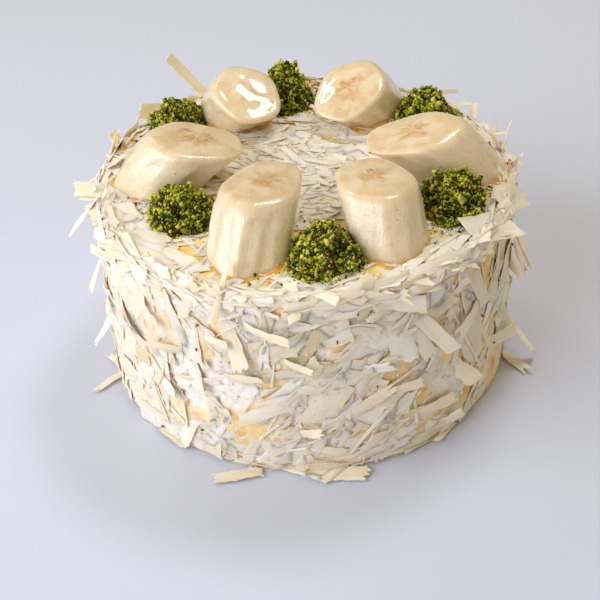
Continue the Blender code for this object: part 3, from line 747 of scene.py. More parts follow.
def flake_faces(count, stations, sides):
    """Quads of count flakes whose rings hold the front's points and then the back's, reversed."""
    ring = 2 * sides
    tube = grid_faces(stations, ring)
    side = np.arange(sides - 1)
    near_end = np.stack([side, ring - 1 - side, ring - 2 - side, side + 1], axis=1)
    far_end = near_end[:, ::-1] + (stations - 1) * ring
    one = np.concatenate([tube, near_end, far_end])
    return (one[None] + np.arange(count)[:, None, None] * stations * ring).reshape(-1, 4)


def flake_shells(
    rng, flakes, grid, thickness, ragged, wave, twist, cup, bow, gold_back=1.0, pale=2.0, darkest=0.0
):
    """Points, quads and attributes of a set of flakes, as closed shells on a grid of stations and sides.

    height = wave sin(step, side) + side width sin(twist step) - cup (side width)^2 / 2 + a rolled end,
    shift along = a random tear that fades from the ends, shift across = bow length step^2 + a nick.
    gold_back is how golden the undersides are painted, as painted bounce light from the cream,
    pale draws the tints towards the palest, and darkest is the least of them.
    """
    count, (stations, sides) = len(flakes["length"]), grid
    each = (count, 1, 1)
    steps = np.sin(np.linspace(-0.5, 0.5, stations) * math.pi) / 2
    step, side = steps[None, :, None], np.linspace(-0.5, 0.5, sides)[None, None, :]
    width, length = flakes["width"][:, None, None], flakes["length"][:, None, None]
    phase = step * rng.uniform(4, 11, each) + side * rng.uniform(-3, 3, each) + rng.uniform(0, 6, each)
    rolled = np.where(rng.random(each) < 0.25, rng.uniform(0.05, 0.2, each), 0) * length
    rolled = rolled * np.clip(2 * step * rng.choice((-1, 1), each) - 0.45, 0, 1) ** 2
    turned = side * width * np.sin(rng.normal(0, twist, each) * step)
    cupped = -rng.uniform(-0.4, 1, each) * cup * (side * width) ** 2 / 2
    height = wave * np.sin(phase) + rolled + turned + cupped
    reach = np.minimum(ragged * rng.exponential(1, each), 0.3 * width)
    tear = rng.normal(0, 1, (count, 2, sides)) * reach
    torn = np.where(step > 0, tear[:, 1:], tear[:, :1]) * np.abs(2 * step) ** 3
    thin = thickness * (1 - 0.55 * np.abs(2 * side) ** 3) * (1 - 0.45 * np.abs(2 * step) ** 6)
    nick = rng.normal(0, 0.04, (count, stations, 2)) * width
    nick = np.where(side > 0, nick[..., 1:], nick[..., :1]) * np.abs(2 * side) ** 2
    nick = nick + rng.normal(0, bow, each) * length * step**2
    front = plate_points(flakes, steps, side[0, 0], height + thin / 2, torn, nick)
    back = plate_points(flakes, steps, side[0, 0], height - thin / 2, torn, nick)
    shells = np.concatenate([front, back[:, :, ::-1]], axis=2)
    shells[..., 2] = np.maximum(shells[..., 2], 0.1 * MM)
    tints = np.maximum(rng.beta(pale, 1.1, each), darkest)
    shaved = np.stack(np.broadcast_arrays(side * width / MM, length * step / MM, 100 * tints), axis=-1)
    shaved = np.concatenate([shaved, shaved[:, :, ::-1]], axis=2)
    tint = np.broadcast_to(tints, shells.shape[:3])
    # Painted light: thin long edges and the ends are painted warm, where light comes through
    edge_glow = EDGE_GLOW if sides > 4 else FINE_EDGE_GLOW
    glow = edge_glow * np.abs(2 * side) ** 8 + END_GLOW * np.abs(2 * step) ** 12
    edge = np.broadcast_to(glow, front.shape[:3])
    # Painted bounce light: undersides of flakes below a height are painted golden, as lit from the cream
    painted_bounce_share = np.clip((PAINTED_BOUNCE_BELOW - flakes["centre"][:, None, None, 2]) / PAINTED_BOUNCE_FADE, 0.1, 1)
    warm = np.concatenate([edge, gold_back * painted_bounce_share + 0 * edge], axis=2)
    attributes = dict(shaved=shaved.reshape(-1, 3), tint=tint.ravel(), warm=warm.ravel())
    return shells.reshape(-1, 3), flake_faces(count, *grid), attributes


# %% [markdown]
# White chocolate is cocoa butter, milk and sugar. Its flakes are ivory with a silky, waxy shine. They are
# so thin that light comes through them. Their edges and ends are painted warm as painted light coming
# through, their undersides as painted bounce light from the cream, and the gaps between them show the
# cream's painted ochre. No two have quite the same tint, and faint streaks and a fine bump follow the
# blade's way along each flake.
# The streaks read the stored place on the flake, in mm, and the darkest tint of all is kept for specks.

# %% White chocolate
# In mm, as the place on the flake is stored
STREAK_WIDTH = 3.5
STREAK_LENGTH = 18
BLADE_MARK = 0.5


def white_chocolate():
    """White chocolate, shaved with a knife: ivory, waxy, translucent, with faint marks of the blade."""
    finish, tree, shader = new_material(
        "white chocolate shaved by knife",
        Roughness=0.45,
        Specular_IOR_Level=0.4,
        Subsurface_Weight=0.62,
        Subsurface_Radius=(1.0, 0.9, 0.75),
        Subsurface_Scale=1.5 * MM,
    )
    shaved = add_node(tree, "Attribute", attribute_name="shaved").outputs["Vector"]
    tint = add_node(tree, "Attribute", attribute_name="tint").outputs["Fac"]
    stops = [(0, "#7C5038"), (0.55, "#F3E8D5"), (0.02, "#DFC9A3"), (0.2, "#E9D9BD"), (1, "#FCF4E9")]
    ivory = add_node(tree, "ValToRGB", {0: tint}, stops)
    stretched = add_node(tree, "Mapping", {0: shaved, 3: (1 / STREAK_WIDTH, 1 / STREAK_LENGTH, 1)})
    streaks = add_node(tree, "TexNoise", {"Vector": stretched.outputs[0], "Scale": 1, "Detail": 2})
    share = add_node(tree, "MapRange", {0: streaks.outputs[0], 1: 0.42, 2: 0.72, 3: 0, 4: 0.6})
    streaked = add_node(
        tree, "Mix", {0: share.outputs[0], 6: ivory.outputs[0], 7: linear("#E4CFA8")}, data_type="RGBA"
    )
    # Painted light: the painted glow mixes the colour towards warm yellow on edges, ends and undersides
    warm = add_node(tree, "Attribute", attribute_name="warm").outputs["Fac"]
    glow = add_node(tree, "Math", {0: warm, 1: 0.8}, operation="MULTIPLY")
    colour = add_node(
        tree, "Mix", {0: glow.outputs[0], 6: streaked.outputs[2], 7: linear("#F5D79A")}, data_type="RGBA"
    )
    tree.links.new(colour.outputs[2], shader.inputs["Base Color"])
    fine = add_node(tree, "Mapping", {0: shaved, 3: (1 / BLADE_MARK, 1 / STREAK_LENGTH, 1)})
    marks = add_node(tree, "TexNoise", {"Vector": fine.outputs[0], "Scale": 1, "Detail": 2})
    bump = add_node(tree, "Bump", {"Height": marks.outputs[0], "Strength": 0.14, "Distance": 0.2 * MM})
    tree.links.new(bump.outputs[0], shader.inputs["Normal"])
    return finish


chocolate = white_chocolate()
looks = np.random.default_rng(21)


def make_flakes(name, flakes, **form):
    """A piece of white chocolate flakes, made from their arrays and the form of their shells."""
    points, quads, attributes = flake_shells(looks, flakes, **form)
    make_piece(name, points, quads, [], chocolate, "white_chocolate", ["cake"], sharp=40, **attributes)
    print(len(flakes["length"]), "flakes")


make_flakes(
    "large_flakes", large, grid=(15, 8), thickness=0.65 * MM, ragged=0.8 * MM, wave=0.3 * MM, twist=0.4,
    cup=16, bow=0.03, gold_back=0.0, darkest=0.4,
)


# %% [markdown]
# Between the large flakes lie hundreds of others, the rest of the same block. They are drawn as whole
# arrays at once, spread evenly over the area of the drum, by shares on wall, shoulder and top. Neighbours
# share a turn, which changes round the wall, because flakes were pressed on by the handful. They mostly
# stay off the bare patches and gaps, and clear of the toppings. On the right of the front a good third is
# left out, so that the cream shows between them.

# %% Spreading flakes over the drum
# Flakes nearer the ground than this mostly lie level
FOOT_BAND = 14 * MM
# How far flakes may run under a banana and a heap
TUCKED_UNDER = (-2.2 * MM, -3 * MM)
# The turn from upright that scattered flakes share, by azimuth, both in degrees
SHARED_TURNS = [
    (-180, 5), (-150, 0), (-128, -12), (-112, -25), (-98, 50), (-85, 62), (-70, 52), (-55, 35), (-42, 5),
    (-15, -5), (20, 30), (60, 70), (100, 20), (140, -30), (180, 5),
]
# On the right of the front fewer flakes lie, and more of the cream shows between them: the span in
# degrees, and the share of flakes left out
THIN_PART = (-62, -6)
THIN_SHARE = 0.38
# How deep in a bare patch or a gap a flake has to reach to be left out, and the share that is
PATCH_DEPTH = 1.4
GAP_DEPTH = 1.75
LEFT_OUT = 0.9


def spread_on_drum(rng, count, shares):
    """Azimuths and ways along the profile for count places, by shares on wall, shoulder and top."""
    azimuth = rng.uniform(0, 2 * math.pi, count)
    zone = rng.choice(3, count, p=np.array(shares) / sum(shares))
    even = rng.random(count)
    wall, shoulder = even * WALL_TOP, WALL_TOP + even * (TOP_START - WALL_TOP)
    top = PROFILE_LENGTH - (CREAM_RADIUS - SHOULDER) * np.sqrt(even)
    return azimuth, np.choose(zone, [wall, shoulder, top])


def shared_turn(rng, azimuth, way, place, out, spread):
    """The turn of each flake: the wall's own, level near the ground, along the rim, side by side on top."""
    count = len(azimuth)
    around = degrees_from(azimuth)
    turn = np.radians(np.interp(around, *np.array(SHARED_TURNS).T))
    turn = turn + 0.45 * ripples(place, 45 * MM, 8) + rng.normal(0, spread, count)
    level = rng.random(count) < 2 * np.clip(1 - way / FOOT_BAND, 0, 1)
    turn = np.where(level, math.pi / 2 + rng.normal(0, 0.12, count), turn)
    along_rim = np.where(out[:, 2] < 0.9, math.pi / 2, -azimuth) + rng.normal(0, 0.25, count)
    slope = np.radians(3 + 24 * np.tanh((place[:, 1] + 12 * MM) / (12 * MM)))
    on_top = math.pi / 2 + slope + rng.normal(0, spread, count)
    return np.where(way < WALL_TOP, turn, np.where(way < TOP_START + 4 * MM, along_rim, on_top))


def scattered(rng, count, shares, length, width, proud, lift, roll, spread):
    """Flakes besides the model's, kept off the bare patches, the gaps, the ground and the toppings.

    They may run a little way under a heap or a chunk of banana, as the toppings were laid on them. One
    that would reach the ground is moved up, so that its lower end comes to the foot.
    """
    azimuth, way = spread_on_drum(rng, count, shares)
    place, out = drum_frame(azimuth, way)
    turn = shared_turn(rng, azimuth, way, place, out, spread)
    long = (length[0] + (length[1] - length[0]) * rng.random(count) ** 1.2) * MM
    across = rng.uniform(*width, count) * MM
    half = (long * np.abs(np.cos(turn)) + across * np.abs(np.sin(turn))) / 2
    on_wall = way < WALL_TOP
    highest = WALL_TOP + rng.uniform(-2, 5, count) * MM - half
    way = np.where(on_wall, np.clip(way, half + 1.2 * MM, highest), way)
    place, out = drum_frame(azimuth, way)
    flakes = shave(
        rng, place, out, turn,
        length=long,
        width=across,
        lift=rng.choice((-1, 1), count) * lift * rng.random(count) ** 1.6,
        roll=rng.uniform(-roll, roll, count),
        proud=rng.uniform(*proud, count) * MM,
        hug=WALL_CURVE * on_wall,
    )
    flakes["curl"] = flakes["curl"] * 0.6 + rng.normal(2, 3, count) * on_wall
    flakes["taper"] = rng.uniform(-0.35, 0.7, count)
    reach = flakes["along"] * (0.45 * flakes["length"])[:, None]
    spots = np.stack([place - reach, place, place + reach])
    spots = np.arctan2(spots[..., 1], spots[..., 0]), spots[..., 2]
    covers = (in_ovals(*spots, BARE_PATCHES) > PATCH_DEPTH) | (in_ovals(*spots, NARROW_GAPS) > GAP_DEPTH)
    covers = covers.any(axis=0) & (rng.random(count) < LEFT_OUT)
    around = degrees_from(azimuth)
    covers |= (around > THIN_PART[0]) & (around < THIN_PART[1]) & (rng.random(count) < THIN_SHARE)
    covers &= on_wall
    return chosen(flakes, ~covers & sits_well(flakes, *TUCKED_UNDER))


def columns(rows):
    """The columns of a table of numbers, as one array each."""
    return np.array(rows, float).T


# %% [markdown]
# The widest flakes are thin plates that lie nearly flush, like shingles. Where the eye rests, a few are
# listed one by one: along the rim they make a shelf, two stand off on the right, two lie in front, and
# four lie on the top at the left, over the cream painted ochre as painted bounce light.

# %% Wide flakes
# Along the rim: azimuth in degrees, length and width in mm
SHELF = [(-101, 30, 7), (-86, 36, 7), (-71, 44, 9), (-56, 38, 9), (-41, 32, 8), (-128, 34, 8), (-146, 30, 8)]
SHELF_WAY = WALL_TOP + 3.4 * MM
# On the wall: azimuth in degrees, height in mm, turn in degrees, length and width in mm, lift in degrees
FLAPS = [
    (-9, 66, 170, 27, 15, 24), (-6, 49, 165, 23, 14, 27), (-101, 13, 60, 27, 8, 3), (-106, 20, 38, 20, 6, 3),
]
# On the top: x and y in mm, turn in degrees, length and width in mm
TOP_PLATES = [(-83, -24, 158, 30, 9), (-73, -43, 138, 32, 9), (-61, -63, 128, 27, 8), (-86, -8, 176, 24, 7)]

wide = scattered(
    looks, count=600, shares=(7, 0.4, 0.4), length=(17, 42), width=(6, 15), proud=(0.6, 1.6), lift=0.04,
    roll=0.04, spread=0.3,
)
azimuth, long, across = columns(SHELF)
place, out = drum_frame(np.radians(azimuth), np.full(len(SHELF), SHELF_WAY))
shelf = shave(looks, place, out, math.pi / 2, long * MM, across * MM, 0.0, 0.1, 2.0 * MM, WALL_CURVE)
azimuth, height, turn, long, across, lift = columns(FLAPS)
place, out = drum_frame(np.radians(azimuth), height * MM)
turn, lift = np.radians(turn), np.radians(lift)
flaps = shave(looks, place, out, turn, long * MM, across * MM, lift, 0.0, 0.7 * MM, WALL_CURVE)
x, y, turn, long, across = columns(TOP_PLATES)
place, out = drum_frame(np.arctan2(y, x), PROFILE_LENGTH - np.hypot(x, y) * MM)
plates = shave(looks, place, out, np.radians(turn), long * MM, across * MM, 0.03, 0.08, 1.7 * MM, 0.0)
wide = gathered([wide, chosen(shelf, sits_well(shelf, 0.5 * MM, 1 * MM)), flaps, plates])
make_flakes(
    "wide_flakes", wide, grid=(11, 8), thickness=0.5 * MM, ragged=1.1 * MM, wave=0.38 * MM, twist=0.3,
    cup=12, bow=0.07,
)


# %% [markdown]
# Smaller flakes fill the rest: medium ones on wall and top, needles that stand out a little and throw
# fine shadows, and on the top long slivers that lie mostly side by side. One thin straw lies across the
# front of the wall, and its place is given.

# %% Small flakes, needles and slivers
# The straw: azimuth and turn in degrees, height, length and width in mm
STRAW = (-47.0, -27, 55, 60, 1.2)

medium = scattered(
    looks, count=720, shares=(5, 0.6, 1.0), length=(8, 24), width=(2, 6), proud=(0.5, 1.7), lift=0.08,
    roll=0.12, spread=0.45,
)
make_flakes(
    "small_flakes", medium, grid=(6, 4), thickness=0.45 * MM, ragged=0.8 * MM, wave=0.25 * MM, twist=0.4,
    cup=16, bow=0.06,
)
needles = scattered(
    looks, count=420, shares=(6, 1.2, 0), length=(8, 34), width=(0.6, 2.0), proud=(1.1, 2.2), lift=0.08,
    roll=0.4, spread=0.6,
)
azimuth, turn, height, long, across = STRAW
place, out = drum_frame(np.radians(azimuth), height * MM)
straw = shave(looks, place, out, math.radians(turn), long * MM, across * MM, 0.0, 0.3, 3.5 * MM, WALL_CURVE)
needles = gathered([needles, straw])
make_flakes(
    "needles", needles, grid=(6, 3), thickness=0.45 * MM, ragged=0.3 * MM, wave=0.2 * MM, twist=0.5,
    cup=0, bow=0.05,
)
slivers = scattered(
    looks, count=1050, shares=(0, 0.5, 6), length=(12, 36), width=(1.6, 6.5), proud=(0.6, 1.9), lift=0.05,
    roll=0.14, spread=0.48,
)
make_flakes(
    "slivers", slivers, grid=(8, 4), thickness=0.5 * MM, ragged=0.7 * MM, wave=0.2 * MM, twist=0.25,
    cup=8, bow=0.03, pale=7.0,
)


# %% [markdown]
# Chocolate crumbs and ground pistachio are both angular grains. One function makes any number of them:
# an eight-sided body whose corners are pushed about, stretched by its own amounts along its axes and
# turned any way round. So few faces keep twenty-five thousand of them light.

# %% Angular grains
GRAIN_CORNERS = np.array([(1, 0, 0), (-1, 0, 0), (0, 1, 0), (0, -1, 0), (0, 0, 1), (0, 0, -1)], float)
GRAIN_FACES = np.array(
    [(0, 2, 4), (2, 1, 4), (1, 3, 4), (3, 0, 4), (2, 0, 5), (1, 2, 5), (3, 1, 5), (0, 3, 5)]
)


def random_turns(rng, count):
    """Random rotation matrices, from four normal numbers each as a unit quaternion."""
    w, x, y, z = unit(rng.normal(size=(count, 4))).T
    rows = [
        [1 - 2 * (y * y + z * z), 2 * (x * y - w * z), 2 * (x * z + w * y)],
        [2 * (x * y + w * z), 1 - 2 * (x * x + z * z), 2 * (y * z - w * x)],
        [2 * (x * z - w * y), 2 * (y * z + w * x), 1 - 2 * (x * x + y * y)],
    ]
    return np.moveaxis(np.array(rows), 2, 0)


def grains(rng, places, radii, jitter=0.3):
    """Points and triangles of one grain at each place: corners pushed about, stretched and turned."""
    count = len(places)
    bodies = GRAIN_CORNERS + rng.uniform(-jitter, jitter, (count, 6, 3))
    bodies = bodies * rng.uniform(0.7, 1.3, (count, 1, 3)) * radii[:, None, None]
    bodies = np.einsum("nij,nkj->nki", random_turns(rng, count), bodies) + places[:, None]
    triangles = GRAIN_FACES[None] + 6 * np.arange(count)[:, None, None]
    return bodies.reshape(-1, 3), triangles.reshape(-1, 3)


# %% [markdown]
# Shaving leaves crumbs of chocolate between the flakes, and most of all on the bare patches, where the
# cream holds them. A few brown specks lie among them, and those are placed one by one.

# %% Chocolate crumbs
CRUMBS = 1100
PATCH_CRUMBS = 500
CRUMB_RADIUS = (0.2 * MM, 0.6 * MM)
SPECK_RADIUS = (0.45 * MM, 1.0 * MM)
SPECK_STAND_OFF = 2.6 * MM
# Azimuth in degrees and height in mm of the brown specks
SPECKS = [
    (-110, 7), (-136, 5), (-121, 17), (-119, 98), (-119, 80), (-120, 66), (-84, 77), (-74, 48), (-76, 47),
    (-80, 46), (-45, 28), (-55, 70), (-47, 41), (-39, 58), (-30, 31), (25, 60), (70, 30), (120, 70),
    (165, 40), (-160, 60),
]
azimuth, way = spread_on_drum(looks, CRUMBS, (3, 0.8, 3))
patch = np.array(BARE_PATCHES)[looks.integers(0, len(BARE_PATCHES), PATCH_CRUMBS)]
offset = unit(looks.normal(size=(PATCH_CRUMBS, 2))) * np.sqrt(looks.random((PATCH_CRUMBS, 1)))
azimuth = np.concatenate([azimuth, np.radians(patch[:, 0] + patch[:, 2] * offset[:, 0])])
way = np.concatenate([way, (patch[:, 1] + patch[:, 3] * offset[:, 1]) * MM])
places, out = drum_frame(azimuth, way)
places = places + out * looks.uniform(0.1 * MM, 2.4 * MM, (len(places), 1))
keep = ~touches_topping(places, 0.3 * MM, 0.3 * MM) & (places[:, 2] > 1.5 * MM)
azimuth, height = columns(SPECKS)
specks, speck_out = drum_frame(np.radians(azimuth), height * MM)
places = np.concatenate([places[keep], specks + speck_out * SPECK_STAND_OFF])
radii = looks.uniform(*CRUMB_RADIUS, len(places))
radii[-len(specks):] = looks.uniform(*SPECK_RADIUS, len(specks))
points, triangles = grains(looks, places, radii)
tint = looks.beta(2.5, 1.6, len(places))
tint[-len(specks):] = 0
tint = np.repeat(tint, 6)
shaved = points / MM
make_piece(
    "chocolate_crumbs", points, [], triangles, chocolate, "white_chocolate", ["cake"], sharp=0,
    shaved=shaved, tint=tint, warm=np.zeros(len(points)),
)


# %% [markdown]
# ## The bananas
#
# Each chunk was cut slanting from a peeled banana and stands on its lower cut. Its axis is an arc that
# leans outwards, and its skin side has five soft lobes. In the plane of the arc the side lines are arcs as
# well, with the same middle and a radius larger by the height above the axis. So the slope at which each
# line meets the cut face, and the foot, follows from a cosine, and no search is needed.

# %% The form of a chunk
BANANA_SIDES = 144
FACE_BEVEL = 4.2 * MM
FACE_SHARES = np.linspace(0.05, 1, 20)
BEVEL_STEPS = np.linspace(0, 1, 9)
SIDE_RINGS = 46
RIB_DEPTH = 0.42 * MM
DENT_DEPTH = 0.11 * MM
FACE_WAVE = 0.14 * MM
FACE_DOME = 1.0 * MM


def side_point(chunk, angle, slope, radius):
    """The point of the side line at an angle round the banana where the arc's slope is that much."""
    lean = math.radians(chunk["lean"])
    arc_radius = 1 / BANANA_BEND + radius * np.cos(angle)
    out = arc_radius * np.sin(slope) - math.sin(lean) / BANANA_BEND
    up = arc_radius * np.cos(slope) - math.cos(lean) / BANANA_BEND
    return np.stack(np.broadcast_arrays(out, radius * np.sin(angle), up), axis=-1)


def side_slopes(chunk, angle, radius, foot):
    """The slopes at which a side line leaves the cut face and reaches the level of the foot."""
    lean, tilt = math.radians(chunk["lean"]), math.radians(chunk["tilt"])
    arc_radius = 1 / BANANA_BEND + radius * np.cos(angle)
    face = np.arccos(math.cos(lean + tilt) / BANANA_BEND / arc_radius) - tilt
    ground = np.arccos((math.cos(lean) / BANANA_BEND + foot) / arc_radius)
    return face, ground


def banana_surface(chunk, seed):
    """Rings of points from the foot up the side, over the rounded rim and in across the cut face.

    The radius is radius (1 + 0.03 cos 5 angle) plus ribs that run along the banana. Each side line is
    shared out evenly between foot and bevel, the bevel is a Bezier curve round the rim's corner, and
    the face's rings are shares of the rim. Returned with the places in the flesh and the share of cut.
    """
    angle = np.linspace(0, 2 * math.pi, BANANA_SIDES, endpoint=False)[None, :]
    radius = chunk["radius"] * (1 + BANANA_LOBE_DEPTH * np.cos(BANANA_LOBES * angle))
    foot = GAP - chunk["rise"]
    face_slope, foot_slope = side_slopes(chunk, angle, radius, foot)
    rim = side_point(chunk, angle, face_slope, radius)
    bevel_slope = face_slope + FACE_BEVEL * BANANA_BEND
    below = side_point(chunk, angle, bevel_slope, radius)
    inner = rim * (1 - FACE_BEVEL / np.linalg.norm(rim, axis=-1, keepdims=True))
    share = np.linspace(1, 0, SIDE_RINGS, endpoint=False)[:, None]
    slope = bevel_slope + (foot_slope - bevel_slope) * share
    round_way = np.stack(np.broadcast_arrays(np.cos(angle), np.sin(angle), 0 * angle), axis=-1)
    along = slope / BANANA_BEND
    ribs = ripples(round_way * 17 + along[..., None] * np.array([0, 0, 90.0]), 9, seed)
    dents = ripples(round_way * 17 + along[..., None] * np.array([0, 0, 600.0]), 5, seed + 2)
    fade = np.clip((1 - share) * 6, 0, 1) * np.clip(share * 6, 0, 1)
    relief = (RIB_DEPTH * ribs + DENT_DEPTH * dents) * fade
    side = side_point(chunk, angle, slope, radius + relief)
    w = BEVEL_STEPS[:, None, None]
    bevel = (1 - w) ** 2 * below + 2 * w * (1 - w) * rim + w**2 * inner
    t = FACE_SHARES[::-1][1:, None, None]
    face = inner * t
    tilt = math.radians(chunk["tilt"])
    normal = np.array([-math.sin(tilt), 0, math.cos(tilt)])
    domed = FACE_DOME * (1 - t[..., 0] ** 2)
    domed = domed + FACE_WAVE * ripples(face, 13 * MM, seed + 1) * (1 - t[..., 0] ** 6)
    face = face + normal * domed[..., None]
    rings = np.concatenate([side, bevel, face])
    low = np.append(side[0].mean(axis=0)[:2], foot)
    high = normal * domed[-1].mean()
    inwards = np.concatenate([np.ones(SIDE_RINGS + len(BEVEL_STEPS)), t[:, 0, 0]])[:, None]
    deep = np.concatenate([along, np.repeat(bevel_slope / BANANA_BEND, len(BEVEL_STEPS) + len(t), axis=0)])
    deep = deep / chunk["radius"] + 9 * seed
    flesh = np.stack(np.broadcast_arrays(inwards * np.cos(angle), inwards * np.sin(angle), deep), axis=-1)
    cut = np.concatenate([np.zeros(SIDE_RINGS), BEVEL_STEPS, np.ones(len(t))])[:, None] + 0 * angle
    return rings, low, high, flesh, cut


# %% [markdown]
# Banana flesh is pale, moist and lets light in deep. On the cut face it has faint rings and paler patches,
# and an amber core with short brown dashes where its seeds are. On the side, fibres and fine freckles run
# along it, and it is soaked amber at the foot. A clear sugar glaze lies over all of it and gives sharp
# highlights: that is the coat layer of the shader, over flesh that is only half smooth. The glaze is a
# little rougher on the side than on the cut, so there are two finishes. The pattern reads the place in the
# flesh, in shares of the banana's radius, stored with each point.

# %% Glazed banana
FLECK_SPACING = 7 * MM
GLAZE_PORE = 1.1 * MM
SOAKED_FOOT = 4 * MM
FACE_GLAZE_ROUGHNESS = 0.035
SIDE_GLAZE_ROUGHNESS = 0.06


def cut_face(tree, flesh):
    """Colour of the cut: rings by the reach from its middle, paler patches, an amber core with dashes."""
    parts = add_node(tree, "SeparateXYZ", {0: flesh})
    flat = add_node(tree, "CombineXYZ", {0: parts.outputs[0], 1: parts.outputs[1]})
    blur = add_node(tree, "TexNoise", {"Vector": flesh, "Scale": 1.8, "Detail": 2})
    push = {6: blur.outputs[1], 9: (-0.35, -0.35, 0), 10: (0.35, 0.35, 0)}
    pushed = add_node(tree, "MapRange", push, data_type="FLOAT_VECTOR")
    warped = add_node(tree, "VectorMath", {0: flat.outputs[0], 1: pushed.outputs[1]}, operation="ADD")
    reach = add_node(tree, "VectorMath", {0: warped.outputs[0]}, operation="LENGTH")
    shifted = add_node(tree, "MapRange", {0: blur.outputs[0], 1: 0.2, 2: 0.8, 3: -0.2, 4: 0.2})
    wavy = add_node(tree, "Math", {0: reach.outputs["Value"], 1: shifted.outputs[0]}, operation="ADD")
    ring_stops = [(0.0, "#C79A5C"), (1.0, "#D2B98C"), (0.2, "#D3B17C"), (0.42, "#D6B88A"), (0.7, "#DAC298")]
    rings = add_node(tree, "ValToRGB", {0: wavy.outputs[0]}, ring_stops)
    pale = add_node(tree, "MapRange", {0: blur.outputs[0], 1: 0.42, 2: 0.6, 3: 0, 4: 0.7})
    patchy = add_node(
        tree, "Mix", {0: pale.outputs[0], 6: rings.outputs[0], 7: linear("#E4D5B8")}, data_type="RGBA"
    )
    toward = add_node(tree, "VectorMath", {0: warped.outputs[0]}, operation="NORMALIZE")
    blurred = add_node(
        tree, "VectorMath", {0: blur.outputs[1], 1: (1.6, 1.6, 1.6), 2: flesh}, operation="MULTIPLY_ADD"
    )
    spread = {0: toward.outputs[0], 1: (1.7, 1.7, 0), 2: blurred.outputs[0]}
    spoked = add_node(tree, "VectorMath", spread, operation="MULTIPLY_ADD")
    spokes = add_node(tree, "TexNoise", {"Vector": spoked.outputs[0], "Scale": 1.1, "Detail": 4})
    core_stops = [(0, 0.3), (0.56, 0.0), (0.16, 1.0), (0.34, 1.0)]
    near_core = add_node(tree, "ValToRGB", {0: wavy.outputs[0]}, core_stops)
    dash = add_node(tree, "MapRange", {0: spokes.outputs[0], 1: 0.57, 2: 0.68, 3: 0, 4: 0.62})
    dashed = add_node(tree, "Math", {0: dash.outputs[0], 1: near_core.outputs[0]}, operation="MULTIPLY")
    smudges = add_node(tree, "TexNoise", {"Vector": flesh, "Scale": 3.0, "Detail": 4})
    smudge = add_node(tree, "MapRange", {0: smudges.outputs[0], 1: 0.42, 2: 0.68, 3: 0, 4: 0.55})
    smudged = add_node(tree, "Math", {0: smudge.outputs[0], 1: near_core.outputs[0]}, operation="MULTIPLY")
    amber = add_node(
        tree, "Mix", {0: smudged.outputs[0], 6: patchy.outputs[2], 7: linear("#B5874C")}, data_type="RGBA"
    )
    face = add_node(
        tree, "Mix", {0: dashed.outputs[0], 6: amber.outputs[2], 7: linear("#84583A")}, data_type="RGBA"
    )
    return face.outputs[2]


def peeled_side(tree, flesh, place):
    """Colour of the side: fibres and freckles drawn out along it, and soaked amber near the foot."""
    drawn = add_node(tree, "Mapping", {0: flesh, 3: (2.2, 2.2, 1.4)})
    fibres = add_node(tree, "TexNoise", {"Vector": drawn.outputs[0], "Scale": 1, "Detail": 2})
    side_stops = [(0.3, "#DFCDAC"), (0.7, "#E8DBC1"), (0.5, "#E3D4B6")]
    clean = add_node(tree, "ValToRGB", {0: fibres.outputs[0]}, side_stops)
    peppered = add_node(tree, "Mapping", {0: flesh, 3: (13, 13, 8)})
    freckles = add_node(tree, "TexNoise", {"Vector": peppered.outputs[0], "Scale": 1, "Detail": 4})
    freckle = add_node(tree, "MapRange", {0: freckles.outputs[0], 1: 0.54, 2: 0.72, 3: 0, 4: 0.32})
    side = add_node(
        tree, "Mix", {0: freckle.outputs[0], 6: clean.outputs[0], 7: linear("#C6A678")}, data_type="RGBA"
    )
    height = add_node(tree, "SeparateXYZ", {0: place}).outputs["Z"]
    soak = {0: height, 1: CREAM_HEIGHT + SOAKED_FOOT, 2: CREAM_HEIGHT, 3: 0, 4: 0.5}
    low = add_node(tree, "MapRange", soak)
    soaked = add_node(
        tree, "Mix", {0: low.outputs[0], 6: side.outputs[2], 7: linear("#D9A24E")}, data_type="RGBA"
    )
    return soaked.outputs[2]


